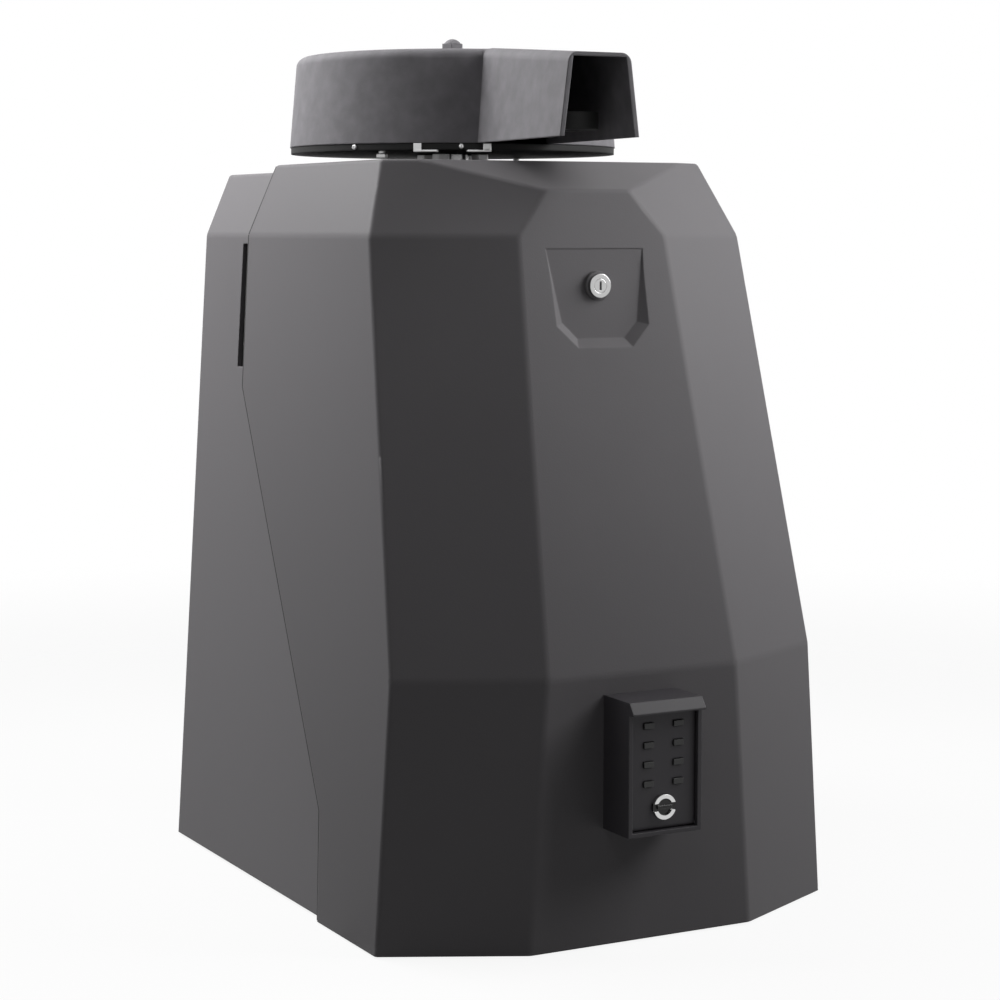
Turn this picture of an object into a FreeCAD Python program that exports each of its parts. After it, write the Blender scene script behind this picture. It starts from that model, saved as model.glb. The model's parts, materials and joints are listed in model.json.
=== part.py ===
import FreeCAD, Part
import math
import os
import re

import Sketcher

# Swing gate operator: a floor-standing cabinet with a crank arm on top.
# The origin is on the floor, on the axis of the output shaft.
# +X is to the right seen from the front, the front faces -Y, +Z is up. Millimetres and degrees.

Vector = FreeCAD.Vector
Rotation = FreeCAD.Rotation

DIMENSIONS = {
    # Cabinet covers: heights, half widths and reach in front of the shaft at each level
    "break_height": 250,
    "deck_height": 713,
    "shoulder_rise": 70,
    "slope_drop": 28,
    "slope_length": 66,
    "front_half_floor": 117,
    "front_half_break": 99.5,
    "front_half_shoulder": 78,
    "front_half_deck": 22,
    "side_half_floor": 241,
    "side_half_shoulder": 199.5,
    "side_half_deck": 172.5,
    "front_reach_floor": 381,
    "front_reach_shoulder": 285.6,
    "chamfer_angle": 26.6,
    "rear_reach": 205,
    "cover_wall": 5,
    "cover_setback": 3,
    "lap_gap": 2,
    "lap_depth": 18,
    "cover_foot": 2,
    "rear_foot": 3,
    "seam_reach_floor": 191,
    "seam_reach_kink": 182,
    "seam_kink_height": 106,
    "seam_back_bend": 58,
    "seam_bend_height": 490,
    "seam_back_shoulder": 61,
    "seam_back_deck": 50,
    "vent_width": 34,
    "vent_height": 125,
    "vent_drop": 9,
    "vent_lap": 2,
    # Lock recess and cam lock in the front panel
    "recess_top_drop": 12,
    "recess_half": 52,
    "recess_height": 95,
    "recess_corner": 22,
    "recess_run": 12,
    "recess_floor_corner": 15,
    "recess_lip": 0.4,
    "recess_lean": 0.154,
    "recess_wall": 4,
    "recess_margin": 2,
    "lock_pad_radius": 13.5,
    "lock_drop": 46,
    "lock_head_radius": 11,
    "lock_head_height": 4.5,
    "lock_barrel_radius": 9.5,
    "lock_barrel_length": 40,
    "lock_plug_radius": 6.5,
    "lock_nut_flats": 23,
    "lock_nut_height": 5,
    "cam_length": 28,
    "cam_half": 8,
    "cam_thick": 3,
    "keyway_width": 2,
    "keyway_height": 8,
    "keyway_depth": 6,
    # Key safe on the lower front panel
    "safe_centre": -4.3,
    "safe_half": 38,
    "safe_bottom": 110,
    "safe_height": 122.5,
    "safe_depth": 45,
    "safe_wall": 4,
    "safe_rim": 4.5,
    "visor_height": 11,
    "visor_lip": 1.5,
    "visor_overhang": 7,
    "lid_thick": 4,
    "lid_gap": 0.5,
    "hinge_pin_radius": 1.5,
    "button_columns": 2,
    "button_rows": 4,
    "button_pitch_x": 31,
    "button_pitch_z": 17.6,
    "button_top_inset": 11.5,
    "button_half_width": 5,
    "button_half_height": 2.5,
    "button_proud": 1.8,
    "button_gap": 0.35,
    "button_flange": 1,
    "knob_radius": 11.5,
    "knob_proud": 4,
    "knob_inset": 20.5,
    "knob_stem_radius": 5,
    "knob_core_radius": 7.5,
    "knob_grip_half": 1.5,
    "knob_notch_half": 3.5,
    # Steel frame
    "plate": 8,
    "base_thick": 10,
    "base_side_margin": 46,
    "base_front_margin": 81,
    "base_rear_gap": 18,
    "anchor_edge": 35,
    "anchor_hole_radius": 7,
    "conduit_radius": 32,
    "conduit_back": 95,
    "frame_gap": 6,
    "upright_front": 40,
    "upright_flange": 34,
    "top_plate_front": 110,
    "shelf_back": 112,
    "shelf_flange": 60,
    "bumper_radius": 11,
    "bumper_gap": 0.3,
    "bumper_inset": 40,
    # Worm gearbox
    "gear_height": 450,
    "gear_module": 3,
    "wheel_teeth": 60,
    "wheel_face": 20,
    "wheel_web": 10,
    "wheel_hub_radius": 32,
    "wheel_hub_height": 40,
    "worm_pitch_diameter": 36,
    "worm_thread_length": 66,
    "tooth_play": 0.45,
    "case_drop": 50,
    "case_rise": 40,
    "case_floor": 14,
    "case_gap": 5,
    "case_wall": 12,
    "lid_plate": 10,
    "lid_boss_rise": 12,
    "case_bolt_radius": 4,
    "case_bolt_count": 6,
    "shaft_radius": 16,
    "shaft_stud_radius": 8,
    "bearing_radius": 31,
    "bearing_width": 14,
    "worm_shaft_radius": 10,
    "worm_bearing_radius": 26,
    "worm_bearing_width": 15,
    "worm_boss_half": 85,
    "worm_cap_thick": 6,
    "run_gap": 0.05,
    "fit_gap": 0.02,
    "clear_gap": 0.3,
    "housing_half": 52,
    "housing_flange": 12,
    "housing_barrel": 22,
    # Belt drive and motor
    "pulley_place": 172,
    "belt_width": 12,
    "belt_thick": 7,
    "driven_radius": 60,
    "drive_radius": 30,
    "flange_rise": 9,
    "flange_thick": 4,
    "motor_height": 190,
    "motor_radius": 80,
    "motor_shell_half": 95,
    "motor_shell_centre": -5,
    "motor_wall": 4,
    "stator_bore": 46,
    "rotor_gap": 1,
    "rotor_half": 55,
    "end_bell_thick": 20,
    "motor_shaft_radius": 8,
    "motor_foot_half": 55,
    "motor_foot_height": 14,
    "motor_bench_half": 80,
    # Controls
    "tray_half": 110,
    "tray_depth": 70,
    "tray_drop": 70,
    "tray_head": 100,
    "tray_wall": 2,
    "board_margin": 14,
    "board_thick": 1.6,
    "board_gap": 10,
    "standoff_radius": 3,
    "relay_side": 28,
    "relay_count": 3,
    "terminal_height": 14,
    "terminal_count": 10,
    "transformer_side": 56,
    "capacitor_radius": 22,
    "capacitor_length": 105,
    "switch_width": 22,
    "switch_height": 30,
    "switch_depth": 24,
    # Limit cams and switches
    "cam_disc_radius": 34,
    "cam_lobe_rise": 6,
    "cam_lobe_half": 6,
    "cam_disc_thick": 12,
    "limit_spacing": 28,
    "swing_limit": 110,
    "lobe_lead": 22,
    "roller_radius": 5,
    "lever_thick": 2.5,
    "lever_half": 4,
    "lever_length": 24,
    "switch_offset": 62,
    "microswitch_depth": 20,
    "microswitch_half": 22,
    "microswitch_half_height": 8,
    # Crank arm and hood
    "arm_angle": -5,
    "hub_height": 46,
    "hub_radius": 43,
    "clamp_slot": 4,
    "clamp_ear": 24,
    "clamp_ear_half": 18,
    "clamp_bolt_radius": 5,
    "slinger_radius": 30,
    "slinger_thick": 4,
    "slinger_gap": 1,
    "arm_half": 25,
    "arm_thick": 16,
    "arm_lift": 8,
    "arm_reach": 290,
    "pin_hole_radius": 8,
    "hood_gap": 17.7,
    "hood_height": 90,
    "hood_radius": 165.4,
    "hood_draft": 8,
    "hood_wall": 4,
    "hood_round": 10,
    "snout_reach": 351,
    "snout_half": 39,
    "snout_draft": 9,
    "snout_fall": 15.7,
    "dome_radius": 10,
    "dome_height": 16,
    "washer_radius": 17,
    "washer_thick": 4,
    "hood_plate_thick": 6.5,
    "hood_plate_inset": 1,
    "plate_bolt_circle": 30,
    "plate_bolt_count": 4,
}

doc = FreeCAD.newDocument("swing_gate_operator")
sheet = doc.addObject("Spreadsheet::Sheet", "Dims")
for row, (alias, value) in enumerate(DIMENSIONS.items(), 1):
    sheet.set(f"A{row}", alias.replace("_", " "))
    sheet.set(f"B{row}", str(value))
    sheet.setAlias(f"B{row}", alias)
doc.recompute()

NODES = []
THROUGH = 1.0


def named(formula):
    """Point each dimension named in a formula at its cell of the sheet."""
    return re.sub(r"[a-z_]+", lambda word: f"Dims.{word[0]}" if word[0] in DIMENSIONS else word[0], formula)


def bind(item, **sizes):
    """Drive properties of an object by formulas."""
    for size, formula in sizes.items():
        item.setExpression(size, named(formula))
    return item


def place(item, spot, turn=None):
    """Put an object's own origin at a spot given as three formulas, turned first if asked."""
    if turn:
        item.Placement = FreeCAD.Placement(Vector(), turn)
    for axis, formula in zip("xyz", spot):
        item.setExpression(f"Placement.Base.{axis}", named(formula))
    return item


def node(label, item):
    """Register a finished sub-part under its name."""
    item.Label = label
    NODES.append(item)
    return item


def both(half):
    """The two ends of a span that is even about the middle."""
    return f"-({half})", half


ALONG = {"x": Rotation(Vector(0, 1, 0), 90), "y": Rotation(Vector(1, 0, 0), -90), "z": Rotation()}


def box(size, corner):
    """A block from its lowest corner."""
    item = doc.addObject("Part::Box", "block")
    bind(item, Length=size[0], Width=size[1], Height=size[2])
    return place(item, corner)


def span(x, y, z):
    """A block between two planes along each axis."""
    size = [f"({high}) - ({low})" for low, high in (x, y, z)]
    return box(size, (x[0], y[0], z[0]))


def rod(radius, length, start, axis="z"):
    """A round bar from its start, along one axis."""
    item = doc.addObject("Part::Cylinder", "rod")
    bind(item, Radius=radius, Height=length)
    return place(item, start, ALONG[axis])


def hexagon(flats, length, start, axis="z"):
    """A hexagonal bar given across its flats."""
    item = doc.addObject("Part::Prism", "hexagon")
    item.Polygon = 6
    bind(item, Circumradius=f"({flats}) / 2 / cos(30)", Height=length)
    return place(item, start, ALONG[axis])


def fuse(*items):
    """One solid from several that meet."""
    item = doc.addObject("Part::MultiFuse", "fused")
    item.Shapes = list(items)
    item.Refine = True
    return item


def cut(base, *tools):
    """A solid with others taken out of it."""
    item = doc.addObject("Part::Cut", "cut")
    item.Base = base
    item.Tool = tools[0] if len(tools) == 1 else group(*tools)
    return item


def common(first, second):
    """What two solids share."""
    item = doc.addObject("Part::Common", "common")
    item.Base = first
    item.Tool = second
    return item


def group(*items):
    """Several separate solids held together."""
    item = doc.addObject("Part::Compound", "group")
    item.Links = list(items)
    return item


FACING = {"z": Rotation(), "x": Rotation(0.5, 0.5, 0.5, 0.5), "y": Rotation(Vector(1, 0, 0), 90)}


def draw_polygon(sketch, points):
    """Draw a closed polygon in a sketch, with each corner held by two formulas."""
    count = len(points)
    for corner in range(count):
        start = Vector(math.cos(corner), math.sin(corner), 0)
        end = Vector(math.cos(corner + 1), math.sin(corner + 1), 0)
        sketch.addGeometry(Part.LineSegment(start, end))
    for corner in range(count):
        sketch.addConstraint(Sketcher.Constraint("Coincident", corner, 2, (corner + 1) % count, 1))
    for corner, spot in enumerate(points):
        for direction, formula in zip(("DistanceX", "DistanceY"), spot):
            index = sketch.addConstraint(Sketcher.Constraint(direction, corner, 1, 1.0))
            sketch.setExpression(f"Constraints[{index}]", named(formula))


def outline(points, facing="z", at="0"):
    """A closed polygon. Facing z it lies in XY, facing x in YZ, and facing y in XZ."""
    sketch = doc.addObject("Sketcher::SketchObject", "outline")
    draw_polygon(sketch, points)
    spot = {"z": ("0", "0", at), "x": (at, "0", "0"), "y": ("0", at, "0")}[facing]
    return place(sketch, spot, FACING[facing])


def prism(sketch, length, both_ways=False):
    """A straight extrusion of an outline."""
    item = doc.addObject("Part::Extrusion", "prism")
    item.Base = sketch
    item.DirMode = "Normal"
    item.Solid = True
    item.Symmetric = both_ways
    return bind(item, LengthFwd=length)


def loft(*sketches):
    """A solid with flat sides between outlines."""
    item = doc.addObject("Part::Loft", "loft")
    item.Sections = list(sketches)
    item.Solid = True
    item.Ruled = True
    return item


def rounded(base, radius, chosen):
    """Round the edges that the chooser accepts."""
    doc.recompute()
    item = doc.addObject("Part::Fillet", "rounded")
    item.Base = base
    size = sheet.get(radius)
    edges = enumerate(base.Shape.Edges, 1)
    item.Edges = [(index, size, size) for index, edge in edges if chosen(edge, base.Shape)]
    return item


def eased(base, setback, chosen):
    """Round each accepted fold by one setback, so that gentle folds get wide radii."""
    doc.recompute()
    item = doc.addObject("Part::Fillet", "eased")
    item.Base = base
    edges = []
    for index, edge in enumerate(base.Shape.Edges, 1):
        if chosen(edge, base.Shape):
            size = sheet.get(setback) / math.tan(math.radians(fold(edge, base.Shape)) / 2)
            edges.append((index, size, size))
    item.Edges = edges
    return item


def fold(edge, shape):
    """The angle in degrees between the two faces at a straight edge."""
    faces = shape.ancestorsOfType(edge, Part.Face)
    middle = edge.valueAt((edge.FirstParameter + edge.LastParameter) / 2)
    normals = []
    for face in faces:
        spot = face.Surface.parameter(middle)
        normals.append(face.normalAt(*spot))
    return math.degrees(normals[0].getAngle(normals[1])) if len(normals) == 2 else 0


def turned(item, angle):
    """Turn a finished piece about the shaft axis by a formula."""
    item.Placement = FreeCAD.Placement(Vector(), Rotation(Vector(0, 0, 1), 1))
    item.setExpression("Placement.Rotation.Angle", named(angle))
    return item


def bolt(head_flats, head_height, radius, length, seat, axis="z"):
    """A hexagon bolt: the head stands on its seat against the axis, the shank runs along it."""
    back = {"x": (f"({seat[0]}) - ({head_height})", seat[1], seat[2]),
            "y": (seat[0], f"({seat[1]}) - ({head_height})", seat[2]),
            "z": (seat[0], seat[1], f"({seat[2]}) - ({head_height})")}[axis]
    head = hexagon(head_flats, head_height, back, axis)
    return fuse(head, rod(radius, length, seat, axis))


# Heights and depths that several pieces share
SHOULDER = "(deck_height - shoulder_rise)"
PANEL_TOP = "(deck_height - slope_drop)"
REAR_INSET = "(cover_wall + lap_gap)"
REAR_INNER = f"(rear_reach - {REAR_INSET} - cover_wall)"
PANEL_LEAN = f"((front_reach_floor - front_reach_shoulder) / ({SHOULDER} - break_height))"
SIDE_LEAN = f"((side_half_floor - side_half_shoulder) / {SHOULDER})"
TOP_PLATE_TOP = f"(deck_height - {REAR_INSET} - cover_wall)"
TOP_PLATE_BOTTOM = f"({TOP_PLATE_TOP} - plate)"
FRAME_HALF = f"(side_half_deck - {REAR_INSET} - cover_wall - frame_gap)"
FRAME_INNER = f"({FRAME_HALF} - plate)"
BASE_HALF = "(side_half_floor - base_side_margin)"
BASE_FRONT = "(front_reach_floor - base_front_margin)"
BASE_REAR = f"({REAR_INNER} - base_rear_gap)"
GEAR_CENTRE = "(gear_module * wheel_teeth / 2 + worm_pitch_diameter / 2)"
SHELF_TOP = "(gear_height - case_drop)"
CASE_TOP = "(gear_height + case_rise)"
CAVITY_RADIUS = "(gear_module * (wheel_teeth / 2 + 1) + case_gap)"
CASE_RADIUS = f"({CAVITY_RADIUS} + case_wall)"
WORM_TIP = "(worm_pitch_diameter / 2 + gear_module)"
WORM_BOSS_RADIUS = "(worm_bearing_radius + case_wall - 3)"
SHELF_FRONT = f"({GEAR_CENTRE} + {WORM_BOSS_RADIUS} + case_gap)"
HOOD_BOTTOM = "(deck_height + hood_gap)"
HUB_TOP = f"({HOOD_BOTTOM} + hub_height)"
HOOD_TOP = f"({HOOD_BOTTOM} + hood_height)"


# Cabinet covers

def panel_reach(height):
    """How far the leaning front panel stands in front of the shaft at a height."""
    return f"(front_reach_floor - (({height}) - break_height) * {PANEL_LEAN})"


LEVELS = [
    ("front_half_floor", "side_half_floor", "front_reach_floor"),
    ("front_half_break", f"(side_half_floor - break_height * {SIDE_LEAN})", "front_reach_floor"),
    ("front_half_shoulder", "side_half_shoulder", "front_reach_shoulder"),
    ("front_half_deck", "side_half_deck", panel_reach("deck_height")),
]


def cover_section(level, inset, height):
    """The cabinet's plan at one level: a flat front, two chamfers, two sides and a flat back."""
    front_half, side_half, reach = LEVELS[level]
    chamfer_reach = f"({reach} - ({side_half} - {front_half}) * tan(chamfer_angle))"
    front = f"({front_half} - ({inset}) * tan(chamfer_angle / 2))"
    side = f"({side_half} - ({inset}))"
    nose = f"(-({reach} - ({inset})))"
    cheek = f"(-({chamfer_reach} - ({inset}) * tan(45 - chamfer_angle / 2)))"
    back = f"(rear_reach - ({inset}))"
    points = [(f"-{front}", nose), (front, nose), (side, cheek),
              (side, back), (f"-{side}", back), (f"-{side}", cheek)]
    return outline(points, "z", height)


def cover_form(inset, foot):
    """The cabinet's whole form, drawn in by an inset on every side and at the deck."""
    heights = [foot, "break_height", SHOULDER, f"deck_height - ({inset})"]
    return loft(*[cover_section(level, inset, height) for level, height in enumerate(heights)])


def deck_slope(inset):
    """What the sloping front of the deck takes off the form."""
    low = f"({PANEL_TOP} - ({inset}))"
    front = f"(-{panel_reach(PANEL_TOP)})"
    fall = "(slope_drop / slope_length)"
    far = "slope_length"
    sky = "(deck_height + slope_drop)"
    points = [(f"{front} - {far}", f"{low} - {far} * {fall}"), (f"{front} + {far}", f"{low} + slope_drop"),
              (f"{front} + {far}", sky), (f"{front} - {far}", sky)]
    return prism(outline(points, "x"), "2 * side_half_floor", True)


def seam_region(shift, sign):
    """The space in front of the seam (sign -1) or behind it (sign 1), with the seam shifted back."""
    seam = [("-seam_reach_floor", "-cover_wall"), ("-seam_reach_kink", "seam_kink_height"),
            ("seam_back_bend", "seam_bend_height"), ("seam_back_shoulder", SHOULDER),
            ("seam_back_deck", "deck_height + cover_wall")]
    seam = [(f"{across} + ({shift})", height) for across, height in seam]
    far = f"({sign} * 2 * front_reach_floor)"
    points = seam + [(far, "deck_height + cover_wall"), (far, "-cover_wall")]
    return prism(outline(points, "x"), "4 * side_half_floor", True)


def upper_fold(edge, shape):
    """Accept the sharp edges above the foot of a cover form."""
    foot = sheet.get("rear_foot") + THROUGH
    return max(vertex.Z for vertex in edge.Vertexes) > foot and fold(edge, shape) > 3


RECESS_TOP = f"({SHOULDER} - recess_top_drop)"
LOCK_HEIGHT = f"({SHOULDER} - lock_drop)"
RECESS_EDGE = f"(-{panel_reach(RECESS_TOP)})"
FLOOR_EDGE = f"({RECESS_EDGE} + recess_lip)"
LOCK_SEAT = f"({FLOOR_EDGE} - recess_lean * ({RECESS_TOP} - {LOCK_HEIGHT} + lock_pad_radius) - clear_gap)"
LOCK_WALL = "(recess_wall + 2 * recess_lean * lock_pad_radius + 2 * clear_gap)"


def recess_outline(at, lean, sizes, grow):
    """The lock recess on a plane that leans back from its top edge: its corners are cut below."""
    upper, lower, drop, corner = [f"({size})" for size in sizes]
    bottom = f"(-({drop} + ({grow})))"
    shelf = f"({bottom} + {corner})"
    foot = f"({lower} + ({grow}) - {corner})"
    high = f"({upper} + ({grow}))"
    low = f"({lower} + ({grow}))"
    points = [(f"-{foot}", bottom), (foot, bottom), (low, shelf),
              (high, grow), (f"-{high}", grow), (f"-{low}", shelf)]
    sketch = place(outline(points, "y"), ("0", at, RECESS_TOP))
    sketch.setExpression("Placement.Rotation.Angle", named(f"90 deg - atan({lean})"))
    return sketch


def recess_form(setback, grow):
    """The lock recess from its floor to just in front of the panel, set back and grown on every side."""
    floor = ("recess_half - recess_lip", "recess_half - recess_run", "recess_height - recess_run",
             "recess_floor_corner")
    mouth = ("recess_half", "recess_half", "recess_height", "recess_corner")
    return loft(recess_outline(f"{FLOOR_EDGE} + ({setback})", "recess_lean", floor, grow),
                recess_outline(f"{RECESS_EDGE} - recess_margin", PANEL_LEAN, mouth, grow))


SHAFT_SLOT_HALF = "(slinger_radius - 4)"
SAFE_BACK = "(-front_reach_floor)"
VENT_TOP = f"({SHOULDER} - vent_drop)"

front_outer = eased(cut(cover_form("0", "cover_foot"), deck_slope("0")), "cover_setback", upper_fold)
front_inner = cut(cover_form("cover_wall", "cover_foot - lap_gap"), deck_slope("cover_wall * 1.1"))
front_shell = common(cut(front_outer, front_inner), seam_region("0", "-1"))
recess_boss = common(recess_form("recess_wall", "recess_wall"), front_outer)
lock_pad = rod("lock_pad_radius", LOCK_WALL, ("0", LOCK_SEAT, LOCK_HEIGHT), "y")
lock_hole = rod("lock_barrel_radius + fit_gap", f"{LOCK_WALL} + 2 * cover_wall",
                ("0", f"{LOCK_SEAT} - cover_wall", LOCK_HEIGHT), "y")
shaft_slot = fuse(
    rod(SHAFT_SLOT_HALF, "4 * cover_wall", ("0", "0", "deck_height - 2 * cover_wall")),
    span(both(SHAFT_SLOT_HALF), ("0", "rear_reach"),
         ("deck_height - 2 * cover_wall", "deck_height + 2 * cover_wall")))
recessed_shell = cut(fuse(front_shell, recess_boss), recess_form("0", "0"))
node("front_cover", cut(fuse(recessed_shell, lock_pad), lock_hole, shaft_slot))

rear_outer = eased(cover_form(REAR_INSET, "rear_foot"), "cover_setback", upper_fold)
rear_inner = cover_form(f"{REAR_INSET} + cover_wall", "rear_foot - lap_gap")
rear_shell = common(cut(rear_outer, rear_inner), seam_region("-lap_depth", "1"))
vent_slots = span(both("side_half_floor"), ("seam_back_bend - vent_lap", "seam_back_bend + vent_width"),
                  (f"{VENT_TOP} - vent_height", VENT_TOP))
SCREW_RADIUS = "(plate * 0.4)"
REAR_SCREWS = [(side, height) for side in ("-1", "1") for height in ("break_height", f"({SHOULDER} - 60)")]
SCREW_SIDE = f"({FRAME_HALF} - upright_flange / 2)"
screw_holes = [rod(f"{SCREW_RADIUS} + fit_gap", "4 * cover_wall",
                   (f"{side} * {SCREW_SIDE}", f"{REAR_INNER} - plate - 1", height), "y")
               for side, height in REAR_SCREWS]
node("rear_cover", cut(rear_shell, vent_slots, *screw_holes))
rear_screws = []
for side, height in REAR_SCREWS:
    seat = (f"{side} * {SCREW_SIDE}", f"{REAR_INNER} + cover_wall", height)
    head = rod(f"2 * {SCREW_RADIUS}", f"{SCREW_RADIUS}", seat, "y")
    shank = rod(SCREW_RADIUS, "cover_wall + plate", (seat[0], f"{REAR_INNER} - plate", height), "y")
    slot = span((f"{seat[0]} - 1", f"{seat[0]} + 1"),
                (f"{seat[1]} + {SCREW_RADIUS} / 2", f"{seat[1]} + plate"),
                (f"{height} - plate", f"{height} + plate"))
    rear_screws.append(cut(fuse(head, shank), slot))
node("rear_cover_screws", group(*rear_screws))

# Cam lock of the front cover

barrel_end = f"({LOCK_SEAT} + lock_barrel_length)"
lock_front = f"({LOCK_SEAT} - lock_head_height)"
lock_head = rod("lock_head_radius", "lock_head_height", ("0", lock_front, LOCK_HEIGHT), "y")
lock_barrel = rod("lock_barrel_radius", "lock_barrel_length", ("0", LOCK_SEAT, LOCK_HEIGHT), "y")
plug_bore = rod("lock_plug_radius + run_gap", "lock_barrel_length + 2 * lock_head_height",
                ("0", f"{lock_front} - 1", LOCK_HEIGHT), "y")
node("cover_lock_body", cut(fuse(lock_head, lock_barrel), plug_bore))
nut_seat = ("0", f"{LOCK_SEAT} + {LOCK_WALL}", LOCK_HEIGHT)
node("cover_lock_nut", cut(hexagon("lock_nut_flats", "lock_nut_height", nut_seat, "y"),
                           rod("lock_barrel_radius + fit_gap", "lock_nut_height", nut_seat, "y")))
plug = rod("lock_plug_radius", f"{barrel_end} + clear_gap - ({lock_front})",
           ("0", lock_front, LOCK_HEIGHT), "y")
keyway = span(both("keyway_width / 2"), (f"{lock_front} - 1", f"{lock_front} + keyway_depth"),
              (f"{LOCK_HEIGHT} - keyway_height / 2", f"{LOCK_HEIGHT} + keyway_height / 2"))
node("cover_lock_plug", cut(plug, keyway))
cam_front = f"({barrel_end} + clear_gap)"
cam_blank = fuse(
    span(("0", "cam_length - cam_half"), (cam_front, f"{cam_front} + cam_thick"),
         (f"{LOCK_HEIGHT} - cam_half", f"{LOCK_HEIGHT} + cam_half")),
    rod("cam_half", "cam_thick", ("0", cam_front, LOCK_HEIGHT), "y"),
    rod("cam_half", "cam_thick", ("cam_length - cam_half", cam_front, LOCK_HEIGHT), "y"))
cam_screw = hexagon("cam_half", "cam_thick", ("0", f"{cam_front} + cam_thick", LOCK_HEIGHT), "y")
node("cover_lock_cam", fuse(cam_blank, cam_screw))

# Lock keeper: a cranked strap from the top plate that the cam turns up behind

keeper_back = f"({cam_front} - 1)"
keeper_low = f"({LOCK_HEIGHT} + lock_barrel_radius + cam_half / 2)"
keeper_shelf = f"({keeper_low} + 30)"
keeper_x = both("cam_length * 0.7")
node("lock_keeper", fuse(
    span(keeper_x, (f"{keeper_back} - plate / 2", keeper_back), (keeper_low, keeper_shelf)),
    span(keeper_x, (f"{keeper_back} - plate / 2", "-top_plate_front + plate / 2"),
         (f"{keeper_shelf} - plate / 2", keeper_shelf)),
    span(keeper_x, ("-top_plate_front", "-top_plate_front + plate / 2"),
         (f"{keeper_shelf} - plate / 2", TOP_PLATE_BOTTOM)),
    span(keeper_x, ("-top_plate_front", "-housing_half - plate / 2"),
         (f"{TOP_PLATE_BOTTOM} - plate / 2", TOP_PLATE_BOTTOM))))

# Key safe: a small box on the front panel with a hinged lid, push buttons and a turning knob

SAFE_FRONT = "(-(front_reach_floor + safe_depth))"
SAFE_TOP = "(safe_bottom + safe_height)"
LID_FRONT = f"({SAFE_FRONT} + safe_rim)"
LID_BACK = f"({LID_FRONT} + lid_thick)"
LID_HALF = "(safe_half - safe_wall - lid_gap)"
LID_LOW = "(safe_bottom + safe_wall + lid_gap)"
HEADER = f"({SAFE_TOP} - visor_height)"
LID_HIGH = f"({HEADER} - lid_gap)"
HINGE_DEPTH = f"({LID_FRONT} + lid_thick / 2)"
HINGE_HEIGHT = f"({LID_LOW} + lid_thick / 2)"


def about_safe(half):
    """A span in X about the key safe's middle."""
    return (f"safe_centre - ({half})", f"safe_centre + ({half})")


safe_block = span(about_safe("safe_half"), (SAFE_FRONT, SAFE_BACK), ("safe_bottom", SAFE_TOP))


def visor_section(top, at):
    """The visor's oblong section from its underside up to a top."""
    left, right = about_safe("safe_half")
    corners = [(left, HEADER), (right, HEADER), (right, top), (left, top)]
    return outline(corners, "y", at)


visor = loft(visor_section(f"({HEADER} + visor_lip)", f"{SAFE_FRONT} - visor_overhang"),
             visor_section(SAFE_TOP, SAFE_FRONT))
safe_cavity = span(about_safe("safe_half - safe_wall"),
                   (f"{SAFE_FRONT} - 1", f"{SAFE_BACK} - safe_wall"),
                   ("safe_bottom + safe_wall", HEADER))
pin_holes = rod("hinge_pin_radius + fit_gap", "2 * safe_half - safe_wall",
                ("safe_centre - safe_half + safe_wall / 2", HINGE_DEPTH, HINGE_HEIGHT), "x")
lid_stop = span(about_safe(LID_HALF), (f"{LID_BACK} + clear_gap", f"{LID_BACK} + clear_gap + safe_wall"),
                (f"{HEADER} - safe_wall", HEADER))
node("key_safe_body", fuse(cut(fuse(safe_block, visor), safe_cavity, pin_holes), lid_stop))
node("key_safe_hinge_pin", rod("hinge_pin_radius", "2 * safe_half - safe_wall",
                               ("safe_centre - safe_half + safe_wall / 2", HINGE_DEPTH, HINGE_HEIGHT), "x"))

BUTTONS = []
for lid_row in range(int(sheet.get("button_rows"))):
    for lid_column in range(int(sheet.get("button_columns"))):
        across = f"(safe_centre + ({lid_column} - (button_columns - 1) / 2) * button_pitch_x)"
        height = f"({LID_HIGH} - button_top_inset - {lid_row} * button_pitch_z)"
        BUTTONS.append((across, height))
KNOB_HEIGHT = f"({LID_LOW} + knob_inset)"


def button_block(across, height, grow, front, back):
    """A button's oblong section between two depths."""
    wide = f"(button_half_width + ({grow}))"
    tall = f"(button_half_height + ({grow}))"
    return span((f"{across} - {wide}", f"{across} + {wide}"), (front, back),
                (f"{height} - {tall}", f"{height} + {tall}"))


lid_plate = span(about_safe(LID_HALF), (LID_FRONT, LID_BACK), (HINGE_HEIGHT, LID_HIGH))
lid_nose = rod("lid_thick / 2", f"2 * {LID_HALF}",
               (f"safe_centre - {LID_HALF}", HINGE_DEPTH, HINGE_HEIGHT), "x")
lid_holes = [button_block(across, height, "button_gap", f"{LID_FRONT} - 1", f"{LID_BACK} + 1")
             for across, height in BUTTONS]
lid_pin_hole = rod("hinge_pin_radius + run_gap", "2 * safe_half",
                   ("safe_centre - safe_half", HINGE_DEPTH, HINGE_HEIGHT), "x")
lid_knob_hole = rod("knob_stem_radius + run_gap", "3 * lid_thick",
                    ("safe_centre", f"{LID_FRONT} - 1", KNOB_HEIGHT), "y")
node("key_safe_lid", cut(fuse(lid_plate, lid_nose), *lid_holes, lid_pin_hole, lid_knob_hole))
for number, (across, height) in enumerate(BUTTONS, 1):
    cap = button_block(across, height, "0", f"{LID_FRONT} - button_proud", f"{LID_BACK} + clear_gap")
    flange_front = f"{LID_BACK} + clear_gap"
    flange = button_block(across, height, "button_flange", flange_front, f"{flange_front} + button_flange")
    node(f"key_button_{number}", fuse(cap, flange))
knob_seat = f"({LID_FRONT} - clear_gap)"
knob_face = f"({knob_seat} - knob_proud)"
knob_ring = cut(rod("knob_radius", "knob_proud", ("safe_centre", knob_face, KNOB_HEIGHT), "y"),
                rod("knob_core_radius", "knob_proud / 2", ("safe_centre", knob_face, KNOB_HEIGHT), "y"))
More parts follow.
